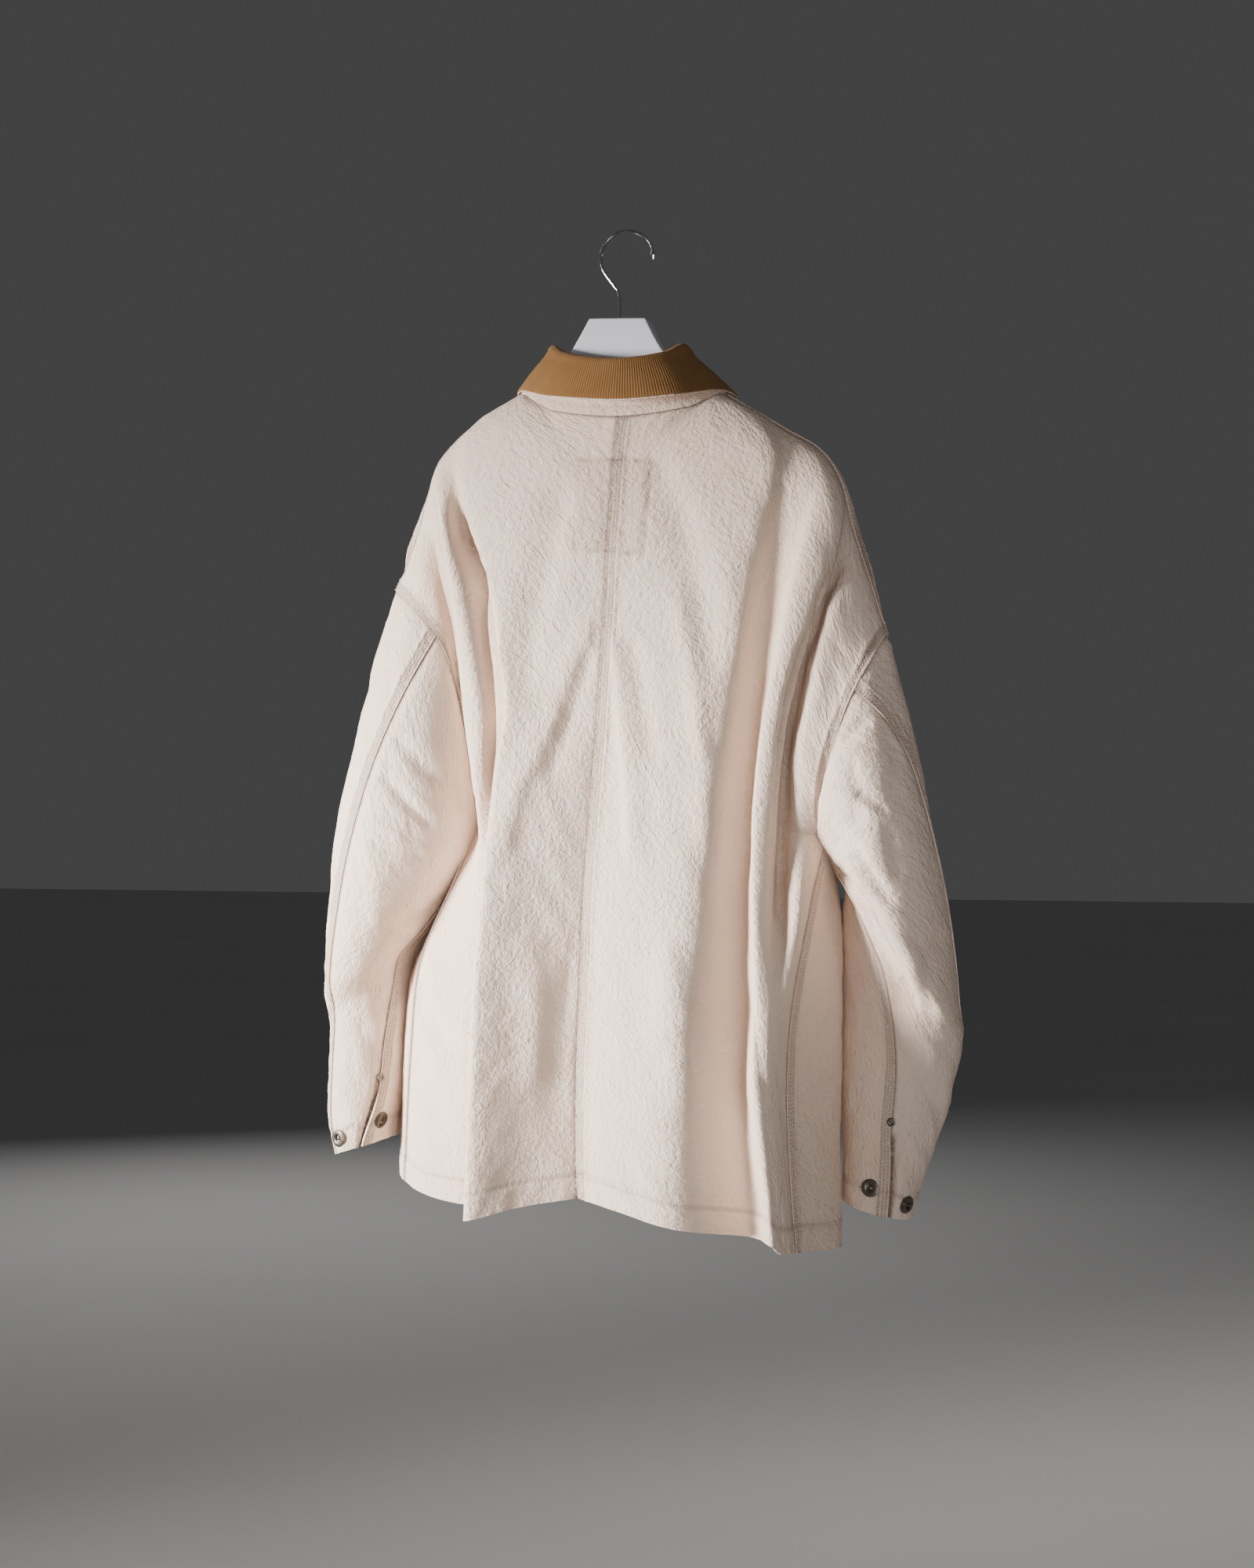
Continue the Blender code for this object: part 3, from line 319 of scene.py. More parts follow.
def curve_weights(keys: np.ndarray, at: np.ndarray) -> np.ndarray:
    """Weigh the values at rising keys for a smooth curve through them.

    Args:
        keys: The rising keys.
        at: Places to read the curve at.

    Returns:
        One row of weights for each place.
    """
    keys = np.asarray(keys, float)
    last = len(keys) - 1
    at = np.clip(np.asarray(at, float), keys[0], keys[-1])
    left = np.clip(np.searchsorted(keys, at, side="right") - 1, 0, last - 1)
    before = np.maximum(left - 1, 0)
    after = np.minimum(left + 2, last)
    span = keys[left + 1] - keys[left]
    part = (at - keys[left]) / span
    square = part * part
    cube = square * part
    slope_in = (cube - 2 * square + part) * span / (keys[left + 1] - keys[before])
    slope_out = (cube - square) * span / (keys[after] - keys[left])
    weights = np.zeros((len(at), len(keys)))
    rows = np.arange(len(at))
    np.add.at(weights, (rows, left), 2 * cube - 3 * square + 1 - slope_out)
    np.add.at(weights, (rows, left + 1), 3 * square - 2 * cube + slope_in)
    np.add.at(weights, (rows, before), -slope_in)
    np.add.at(weights, (rows, after), slope_out)
    return weights


def table_at(table: tuple, at: np.ndarray) -> np.ndarray:
    """Read every column of a table whose first column is the key.

    Args:
        table: Rows of a key and its values.
        at: Places to read the table at.

    Returns:
        One row of values for each place.
    """
    rows = np.array(table, float)
    return curve_weights(rows[:, 0], at) @ rows[:, 1:]


def loop_at(table: tuple, angle: np.ndarray) -> np.ndarray:
    """Read a closed loop.

    Args:
        table: Rows of angle in degrees, x, y and z in mm.
        angle: Angles in degrees.

    Returns:
        Points in metres.
    """
    rows = np.array(table, float)
    turn = np.array([360.0, 0, 0, 0])
    wrapped = np.vstack([rows[-1:] - turn, rows, rows[:2] + turn])
    return table_at(wrapped, np.asarray(angle, float) % 360) * MM


@dataclass(frozen=True)
class Half:
    """The shape of one side of the jacket.

    Attributes:
        name: Side of the wearer, left or right.
        outward: +1 where the side lies towards +X, else -1.
        back: Lines down the back panel.
        front: Lines down the front panel.
        side_seam: The seam below the armpit.
        armhole: The loop where the sleeve is set in.
        shoulder: The shoulder seam.
        sleeve_rings: Rings of the sleeve.
        back_hem: Height of the hem along the back panel.
        front_hem: Height of the hem along the front panel.
    """

    name: str
    outward: int
    back: tuple
    front: tuple
    side_seam: tuple
    armhole: tuple
    shoulder: tuple
    sleeve_rings: tuple
    back_hem: tuple
    front_hem: tuple

    def section(self, share: np.ndarray, height: np.ndarray, is_back: bool) -> np.ndarray:
        """Give x and y of a panel.

        Args:
            share: Shares of the panel's width.
            height: Heights in metres.
            is_back: Whether it is the back panel.

        Returns:
            One row of x and y, in metres, for each point.
        """
        lines = np.array(self.back if is_back else self.front, float)
        shares = BACK_SHARES if is_back else FRONT_SHARES
        down = curve_weights(-np.array(LEVELS, float) * MM, -height)
        across = curve_weights(shares, share)
        return np.einsum("pl,sld,ps->pd", down, lines, across) * MM

    def free(self, share: np.ndarray, row: np.ndarray, is_back: bool) -> np.ndarray:
        """Give points of a body panel before its side edge is fitted to the armhole.

        Args:
            share: From 0 at the centre to 1 at the side.
            row: 0 at the top, 1 at the armpit, 2 at the hem.
            is_back: Whether it is the back panel.

        Returns:
            Points in metres.
        """
        neck_share = NECK_SHARE_BACK if is_back else NECK_SHARE_FRONT
        shares = BACK_SHARES if is_back else FRONT_SHARES
        hems = np.array(self.back_hem if is_back else self.front_hem, float)
        along = (share - neck_share) / (1 - neck_share)
        turn = 90 * share / neck_share if is_back else 180 - 90 * share / neck_share
        neck = table_at(COLLAR, turn * self.outward)[:, 0:3] * MM
        shoulder = table_at(self.shoulder, along) * MM
        top = np.where((share < neck_share)[:, None], neck, shoulder)
        armpit = loop_at(self.armhole, np.array([180.0]))[0]
        shoulder_end = loop_at(self.armhole, np.array([0.0]))[0]
        middle = (CHEST_BACK if is_back else CHEST_FRONT) * MM
        chest = middle + (armpit[2] - middle) * smooth(share)
        upper_row = np.minimum(row, 1.0)
        hole = loop_at(self.armhole, 180 * upper_row * (1 if is_back else -1))
        fall = (hole[:, 2] - shoulder_end[2]) / (armpit[2] - shoulder_end[2])
        inner = upper_row ** ROW_SPREAD
        near_side = smooth((share - 0.55) / 0.45)
        upper = top[:, 2] + (chest - top[:, 2]) * (inner + (fall - inner) * near_side)
        hem = curve_weights(shares, share) @ hems * MM
        height = np.where(row <= 1, upper, chest + (hem - chest) * (row - 1))
        flat = self.section(share, height, is_back)
        start = self.section(share, top[:, 2], is_back)
        over = smooth((share - neck_share * 0.5) / (neck_share * 0.7))
        roll = np.full(len(share), BACK_ROLL)
        if not is_back:
            roll = FRONT_ROLL + (NECK_ROLL - FRONT_ROLL) * (1 - smooth(share / neck_share * 2 - 1))
            over = smooth((share - neck_share * 0.8) / (neck_share * 0.5))
        depth = np.clip((top[:, 2] - height) / roll, 0, 1)
        round_hold = 1 - np.sqrt(np.maximum(1 - (1 - depth) ** 2, 0))
        flat_hold = (1 - depth) ** 2
        x = flat[:, 0] + (top[:, 0] - start[:, 0]) * flat_hold
        y = flat[:, 1] + (top[:, 1] - start[:, 1]) * (flat_hold + (round_hold - flat_hold) * over)
        if not is_back:
            lift = FRONT_RISE[self.name] * 2.6 * np.sqrt(depth) * (1 - depth) ** 2
            lift = lift * smooth(along * 3) * (1 - smooth((along - 0.75) / 0.25))
            slope = np.radians(30 + 40 * smooth(along * 1.4))
            x = x + lift * np.sin(slope) * self.outward
            height = height + lift * np.cos(slope)
        return np.stack([x, y, height], axis=1)

    def side_edge(self, row: np.ndarray, is_back: bool) -> np.ndarray:
        """Give the side edge of a panel: the armhole down to row 1, then the side seam.

        Args:
            row: 0 at the shoulder, 1 at the armpit, 2 at the hem.
            is_back: Whether it is the back panel.

        Returns:
            Points in metres.
        """
        hole = loop_at(self.armhole, 180 * np.minimum(row, 1.0) * (1 if is_back else -1))
        armpit = loop_at(self.armhole, np.array([180.0]))[0]
        height = armpit[2] + (self.back_hem[-1] * MM - armpit[2]) * (np.maximum(row, 1.0) - 1)
        keys = np.append(-armpit[2], -np.array(SIDE_LEVELS, float) * MM)
        points = np.vstack([armpit[0:2], np.array(self.side_seam, float) * MM])
        seam = np.column_stack([curve_weights(keys, -height) @ points, height])
        return np.where((row <= 1)[:, None], hole, seam)

    def panel(self, share: np.ndarray, row: np.ndarray, is_back: bool) -> np.ndarray:
        """Give points of a body panel.

        Args:
            share: From 0 at the centre to 1 at the side.
            row: 0 at the neck and shoulder, 1 at the armpit, 2 at the hem.
            is_back: Whether it is the back panel.

        Returns:
            Points in metres, in the shape of the given shares.
        """
        share, row = np.broadcast_arrays(np.asarray(share, float), np.asarray(row, float))
        flat_share, flat_row = share.ravel(), row.ravel()
        points = self.free(flat_share, flat_row, is_back)
        hold = smooth((flat_share - SIDE_HOLD) / (1 - SIDE_HOLD))[:, None]
        edge = self.side_edge(flat_row, is_back)
        points += (edge - self.free(np.ones_like(flat_share), flat_row, is_back)) * hold
        return points.reshape(share.shape + (3,))

    def sleeve(self, place: np.ndarray, angle: np.ndarray) -> np.ndarray:
        """Give points of the sleeve.

        Args:
            place: From 0 at the armhole to 1 at the cuff.
            angle: Angle round the sleeve in degrees, from its outer side through the back.

        Returns:
            Points in metres, in the shape of the given places.
        """
        place, angle = np.broadcast_arrays(np.asarray(place, float), np.asarray(angle, float))
        ring = table_at(self.sleeve_rings, place.ravel())[:, 0:6] * MM
        turn = np.radians(angle.ravel())
        points = self.ring_point(ring, turn)
        first = np.array(self.sleeve_rings[0][1:7], float)[None] * MM
        hold = 1 - smooth(place.ravel() / 0.25)
        hole = loop_at(self.armhole, angle.ravel())
        points += (hole - self.ring_point(first, turn)) * hold[:, None]
        return points.reshape(place.shape + (3,))

    @staticmethod
    def ring_point(ring: np.ndarray, turn: np.ndarray) -> np.ndarray:
        """Give points on sleeve rings at turns in radians.

        Args:
            ring: Outer x and z, inner x and z, back y and front y, a row for each point.
            turn: Turns in radians.

        Returns:
            Points in metres.
        """
        out_x, out_z, in_x, in_z, back, front = ring.T
        cosine, sine = np.cos(turn), np.sin(turn)
        return np.stack([(out_x + in_x + (out_x - in_x) * cosine) / 2,
                         (back + front + (back - front) * sine) / 2,
                         (out_z + in_z + (out_z - in_z) * cosine) / 2], axis=1)

    def seams(self, place: np.ndarray) -> np.ndarray:
        """Give the angles of the sleeve's back seam and vent seam."""
        return table_at(self.sleeve_rings, place)[:, 6:8]


LEFT = Half("left", 1, (CENTRE_BACK,) + BACK_LEFT + (BACK_EDGE_LEFT + SIDE_SEAM_LEFT,),
            FRONT_LEFT + (FRONT_EDGE_LEFT + SIDE_SEAM_LEFT,), SIDE_SEAM_LEFT, ARMHOLE_LEFT,
            SHOULDER_LEFT, SLEEVE_LEFT, HEM_BACK_LEFT, HEM_FRONT_LEFT)
RIGHT = Half("right", -1, (CENTRE_BACK,) + BACK_RIGHT + (BACK_EDGE_RIGHT + SIDE_SEAM_RIGHT,),
             FRONT_RIGHT + (FRONT_EDGE_RIGHT + SIDE_SEAM_RIGHT,), SIDE_SEAM_RIGHT, ARMHOLE_RIGHT,
             SHOULDER_RIGHT, SLEEVE_RIGHT, HEM_BACK_RIGHT, HEM_FRONT_RIGHT)


@dataclass(frozen=True)
class Seam:
    """A sewn edge of a sheet: its raised band, its stitch rows, how it puckers and the painted shade along
    it.

    Attributes:
        side: The sheet's edge.
        width: Width of the doubled cloth in metres, or 0 where the other piece is doubled.
        rise: Height of the doubled cloth.
        rows: Distance of each stitch row from the edge.
        pucker: Height of the puckers.
        start: Share of the edge at which the stitches start.
        end: Share of the edge at which they end.
        slope: Width over which the doubled cloth thins out.
        gap: Distance from the edge of a dark gap of painted shade beside it, or 0 for painted shade on the
            seam line itself.
    """

    side: Side
    width: float = 0.0
    rise: float = 0.0
    rows: tuple[float, ...] = ()
    pucker: float = 0.0006
    start: float = 0.0
    end: float = 1.0
    slope: float = 0.0018
    gap: float = 0.0


@dataclass(frozen=True)
class Crease:
    """A fold on the side that faces one way.

    Attributes:
        facing: +1 for the back of the jacket, -1 for its front.
        path: Points along the fold, x and z in mm.
        height: Height in mm, negative for a trough.
        widths: Half widths in mm, to the left and to the right of the way the path is given.
        dark: How much painted shade the bottom of the fold gets, from 0 to 1.
    """

    facing: int
    path: tuple[tuple[float, float], ...]
    height: float
    widths: tuple[float, float] = (8.0, 8.0)
    dark: float = 0.0

    def lift(self, points: np.ndarray, normals: np.ndarray) -> tuple[np.ndarray, np.ndarray]:
        """Give the lift of the fold and the painted shade at its bottom.

        Args:
            points: Points in metres.
            normals: Normals there.

        Returns:
            Lift in metres and painted shade from 0 to 1 for each point.
        """
        flat = points[..., [0, 2]] * np.array([-self.facing, 1.0]) / MM
        path = np.array(self.path) * np.array([-self.facing, 1.0])
        lengths = np.linalg.norm(np.diff(path, axis=0), axis=1)
        nearest = np.full(flat.shape[:-1], 1e9)
        place = np.zeros_like(nearest)
        for index, (start, end) in enumerate(zip(path[:-1], path[1:])):
            way = (end - start) / lengths[index]
            share = np.clip((flat - start) @ way, 0, lengths[index])
            offset = flat - start - share[..., None] * way
            away = np.linalg.norm(offset, axis=-1)
            side = np.where(way[0] * offset[..., 1] - way[1] * offset[..., 0] > 0, 1.0, -1.0)
            closer = away < np.abs(nearest)
            nearest = np.where(closer, away * side, nearest)
            place = np.where(closer, share + lengths[:index].sum(), place)
        share = place / lengths.sum()
        taper = smooth(share / 0.16) * smooth((1 - share) / 0.16)
        seen = taper * smooth(normals[..., 1] * self.facing * 3 + 0.2)
        width = np.where(nearest > 0, self.widths[0], self.widths[1])
        lift = self.height * MM * seen * np.exp(-(nearest / width) ** 2)
        # Painted shade along the bottom of the fold
        return lift, self.dark * seen * np.exp(-(nearest / 2.6) ** 2)


@dataclass(frozen=True)
class Patch:
    """A second layer sewn inside the cloth, that shows as a faint puckered outline."""

    facing: int
    corners: tuple[tuple[float, float], ...]
    rise: float = 0.0007

    def lift(self, points: np.ndarray, normals: np.ndarray) -> tuple[np.ndarray, np.ndarray]:
        """Give the lift over the patch, the painted shade along its stitched outline and a faint darker
        tint over its inside.

        Args:
            points: Points in metres.
            normals: Normals there.

        Returns:
            Lift in metres and darkness from 0 to 1 for each point.
        """
        flat = points[..., [0, 2]] / MM
        corners = np.array(self.corners, float)
        middle = corners.mean(axis=0)
        inside = np.full(flat.shape[:-1], 1e9)
        for start, end in zip(corners, np.roll(corners, -1, axis=0)):
            across = unit(np.array([start[1] - end[1], end[0] - start[0]]))
            across = across * np.sign((middle - start) @ across)
            inside = np.minimum(inside, (flat - start) @ across)
        seen = smooth(normals[..., 1] * self.facing * 3 + 0.2)
        line = np.exp(-((inside - 1.0) / 1.4) ** 2)
        waves = noise_field(flat * MM, 120.0, 4.0) * np.exp(-((inside + 1) / 6.0) ** 2)
        lift = self.rise * (smooth(inside / 1.5) - line) + 0.0015 * waves
        # Painted shade along the stitched outline, and a faint darker tint over the inside
        return lift * seen, (0.19 * smooth(inside) + 0.55 * line) * seen


# Folds on the back (+1) and the front (-1), from top to bottom; a last number paints shade at a fold's
# bottom
CREASES = (
    Patch(1, PATCH_CORNERS),
    # The deep folds beside both armholes
    Crease(1, ((163, -235), (146, -283), (127, -324), (119, -358), (112, -398), (105, -438),
               (104, -460), (110, -490), (114, -530), (113, -585)), -14.0, (4, 9), 0.9),
    Crease(1, ((113, -520), (114, -560), (116, -627), (116, -688), (117, -758), (117, -830)),
           -5.0, (3, 10), 0.2),
    Crease(1, ((186, -222), (170, -300), (162, -340), (155, -384), (154, -440), (149, -490),
               (135, -535), (129, -575)), -8.0, (3.5, 11), 0.6),
    Crease(1, ((-186, -232), (-171, -290), (-160, -331), (-151, -380), (-140, -428), (-133, -477),
               (-129, -530), (-129, -601), (-133, -657), (-142, -726), (-152, -800)),
           -7.5, (4.5, 24)),
    Crease(1, ((-220, -280), (-204, -321), (-193, -345), (-185, -376), (-174, -402), (-165, -437),
               (-159, -477), (-157, -520), (-154, -588), (-155, -632), (-167, -692)),
           -6.0, (7, 3), 0.55),
    Crease(1, ((-201, -325), (-195, -389), (-189, -436), (-177, -470), (-168, -520)), 3.0, (8, 6)),
    # The folds that fan out from the middle of the back
    Crease(1, ((10, -350), (34, -402), (57, -467), (83, -524), (98, -600)), 3.6, (9, 15)),
    Crease(1, ((16, -385), (34, -440), (58, -520)), -2.5, (9, 9)),
    Crease(1, ((-1, -362), (-8, -430), (-18, -510), (-26, -600)), 3.5, (14, 5)),
    Crease(1, ((-14, -375), (-30, -430), (-44, -500)), -2.0, (9, 9)),
    Crease(1, ((44, -225), (60, -300), (78, -390), (84, -450)), -4.0, (14, 20)),
    Crease(1, ((-34, -205), (-62, -265), (-86, -350), (-98, -430)), -4.0, (14, 18)),
    Crease(1, ((-58, -320), (-78, -410), (-92, -520), (-96, -600)), 3.0, (10, 10)),
    Crease(1, ((72, -640), (60, -720), (62, -800)), 3.0, (12, 14)),
    Crease(1, ((-60, -650), (-78, -730), (-82, -820)), 3.5, (12, 16)),
    Crease(1, ((20, -640), (38, -740), (44, -830)), -2.5, (14, 14)),
    Crease(1, ((-168, -700), (-186, -780), (-196, -850)), 2.5, (7, 7)),
    # Soft folds where the front turns to the left side
    Crease(1, ((205, -660), (186, -680), (160, -712)), 2.5, (9, 14)),
    Crease(1, ((208, -700), (190, -722), (158, -765)), -3.5, (9, 16)),
    Crease(1, ((206, -770), (184, -790), (160, -838)), -3.0, (8, 14)),
    Crease(1, ((200, -735), (178, -760), (160, -790)), 2.0, (7, 10)),
    # The front, much as the back
    Crease(-1, ((-158, -240), (-140, -300), (-126, -370), (-122, -440), (-126, -520)),
           -6.0, (4, 12), 0.4),
    Crease(-1, ((160, -250), (146, -310), (132, -380), (126, -450), (130, -540)),
           -6.0, (12, 4), 0.4),
    Crease(-1, ((60, -300), (78, -370), (96, -460)), 3.0, (10, 10)),
    Crease(-1, ((-70, -330), (-90, -420), (-100, -500)), 3.0, (10, 10)),
    Crease(-1, ((110, -560), (124, -640), (128, -700)), -2.5, (9, 9)),
    Crease(-1, ((-100, -540), (-112, -620), (-116, -700)), 2.5, (9, 9)),
)
# Folds of the sleeves; a last number paints shade at a fold's bottom
SLEEVE_CREASES = {
    "left": (
        Crease(1, ((212, -470), (190, -492), (165, -520), (150, -545)), -3.0, (8, 5), 0.1),
        Crease(1, ((222, -505), (200, -530), (172, -560)), -4.0, (6, 5)),
        Crease(1, ((215, -655), (190, -640), (160, -620)), -4.0, (6, 5), 0.1),
        Crease(1, ((238, -560), (225, -610), (232, -660)), 2.5, (9, 9)),
        Crease(1, ((256, -740), (246, -772), (232, -800)), -2.0, (5, 7)),
        Crease(1, ((205, -690), (228, -722), (242, -742)), -3.5, (5, 12), 0.1),
        Crease(-1, ((215, -480), (195, -520), (180, -560)), -3.0, (8, 6)),
        Crease(-1, ((255, -600), (235, -640), (205, -670)), -3.0, (8, 6)),
        Crease(-1, ((260, -690), (245, -730), (235, -780)), 2.5, (8, 8)),
    ),
    "right": (
        Crease(1, ((-200, -580), (-237, -628), (-263, -680), (-277, -728)), -8.0, (4, 20), 0.35),
        Crease(1, ((-212, -575), (-250, -622), (-277, -675), (-290, -730)), 3.0, (9, 7)),
        Crease(1, ((-235, -520), (-258, -560), (-268, -610)), -3.0, (8, 8)),
        Crease(1, ((-218, -490), (-232, -525), (-228, -560)), -2.5, (8, 6)),
        Crease(1, ((-190, -497), (-215, -478), (-240, -455)), -3.5, (6, 6)),
        Crease(1, ((-188, -520), (-225, -528), (-262, -556)), 3.0, (6, 8)),
        Crease(1, ((-192, -543), (-228, -574), (-262, -628)), -4.0, (5, 8)),
        Crease(1, ((-255, -470), (-262, -500), (-258, -540)), -2.5, (7, 7)),
        Crease(1, ((-300, -650), (-285, -690), (-290, -730)), -3.5, (6, 8)),
        Crease(1, ((-268, -780), (-285, -812), (-302, -850)), -2.5, (5, 8), 0.1),
        Crease(-1, ((-225, -500), (-250, -560), (-262, -620)), -3.0, (8, 8)),
        Crease(-1, ((-230, -640), (-262, -670), (-300, -690)), -4.0, (6, 12), 0.1),
        Crease(-1, ((-262, -740), (-280, -790), (-284, -840)), 2.5, (8, 8)),
    ),
}

# Where the sides swell out below the sleeves: height of the middle, reach and swell in metres
SIDE_SWELL = {"left": (-0.655, 0.085, 0.015), "right": (-0.640, 0.110, 0.011)}


def noise_field(points: np.ndarray, scale: float, seed: float) -> np.ndarray:
    """Read smooth noise at points.

    Args:
        points: Points, two or three numbers each.
        scale: Waves in a metre.
        seed: Shift that makes one field unlike another.

    Returns:
        Numbers from about -1 to 1, in the shape of the points.
    """
    flat = points.reshape(-1, points.shape[-1]) * scale
    if flat.shape[1] == 2:
        flat = np.column_stack([flat, np.full(len(flat), seed)])
    else:
        flat = flat + seed
    values = np.array([noise.noise(Vector(point)) for point in flat])
    return values.reshape(points.shape[:-1])


@dataclass(frozen=True)
class Crumple:
    """Creases that washing leaves in canvas: broad swells and slanting ridges in four sizes.

    Attributes:
        swell: Height of broad swells.
        ridge: Height of the middle ridges.
        grain: Height of the small ridges.
        slant: Slant of the ridges from the warp, in degrees.
    """

    swell: float = 0.0016
    ridge: float = 0.0009
    grain: float = 0.00034
    slant: float = 32.0

    def lift(self, cloth: np.ndarray, seed: float) -> np.ndarray:
        """Give the lift of washed creases.

        Args:
            cloth: Place on the cloth, to the right and down it, in metres.
            seed: Shift that makes one sheet unlike another.

        Returns:
            Lift in metres.
        """
        total = self.swell * noise_field(cloth, 11.0, seed)
        total = total + self.swell * 0.5 * noise_field(cloth, 25.0, seed + 2.0)
        for index, (height, scale, stretch, slant) in enumerate(
                ((self.ridge, 30.0, 0.30, self.slant), (self.ridge * 0.6, 44.0, 0.4, -self.slant * 1.5),
                 (self.grain, 70.0, 0.45, self.slant), (self.grain, 125.0, 0.55, self.slant * 1.3))):
            turn = math.radians(slant)
            along = cloth[..., 0] * math.sin(turn) + cloth[..., 1] * math.cos(turn)
            across = cloth[..., 0] * math.cos(turn) - cloth[..., 1] * math.sin(turn)
            warp = noise_field(cloth, 22.0, seed + 5.3 + index) * 0.010
            place = np.stack([across + warp, along * stretch], axis=-1)
            ridged = 1 - 2.2 * np.abs(noise_field(place, scale, seed + 11.1 * (index + 1)))
            patch = smooth(0.5 + 1.4 * noise_field(cloth, 15.0, seed + 31.7 + index))
            total = total + height * ridged * (0.3 + 0.7 * patch)
        return total


def spaced(length: float, first_band: float, last_band: float, fine: float,
           coarse: float) -> np.ndarray:
    """Space marks along a length, finer beside both ends.

    Args:
        length: The whole length.
        first_band: Width of the fine stretch at the start.
        last_band: Width of the fine stretch at the end.
        fine: Spacing there.
        coarse: Spacing between.

    Returns:
        Rising marks from 0 to the length.
    """
    first = np.linspace(0, first_band, round(first_band / fine) + 1)
    middle = np.linspace(first_band, length - last_band,
                         round((length - first_band - last_band) / coarse) + 1)
    last = np.linspace(length - last_band, length, round(last_band / fine) + 1)
    return np.concatenate([first, middle[1:-1], last])


def grid_normals(points: np.ndarray) -> np.ndarray:
    """Give the normals of a grid of points, of any length."""
    return np.cross(np.gradient(points, axis=1), np.gradient(points, axis=0))


def grid_quads(rows: int, columns: int) -> np.ndarray:
    """List the four corners of every cell of a grid."""
    corner = (np.arange(rows - 1)[:, None] * columns + np.arange(columns - 1)).ravel()
    return np.stack([corner, corner + columns, corner + columns + 1, corner + 1], axis=1)


def arc_lengths(points: np.ndarray, axis: int) -> np.ndarray:
    """Add up the distance along one direction of a grid of points.

    Args:
        points: The grid.
        axis: 0 to go down its columns, 1 to go along its rows.

    Returns:
        Distance from the first row or column, for each point.
    """
    steps = np.linalg.norm(np.diff(points, axis=axis), axis=-1)
    pad = [(0, 0), (0, 0)]
    pad[axis] = (1, 0)
    return np.pad(np.cumsum(steps, axis=axis), pad)


def marks_by_length(surface: Callable[[np.ndarray], np.ndarray], first_band: float,
                    last_band: float, fine: float, coarse: float,
                    limits: tuple[float, float] = (0.0, 1.0)) -> np.ndarray:
    """Space a parameter by real length, measured on a few lines of a surface.

    Args:
        surface: Gives points for parameters, one line in each row.
        first_band: Width of the fine stretch at the start.
        last_band: Width of the fine stretch at the end.
        fine: Spacing there.
        coarse: Spacing between.
        limits: First and last value of the parameter.

    Returns:
        The parameter's values.
    """
    values = np.linspace(limits[0], limits[1], 241)
    lengths = arc_lengths(surface(values), 1).mean(axis=0)
    return np.interp(spaced(lengths[-1], first_band, last_band, fine, coarse), lengths, values)


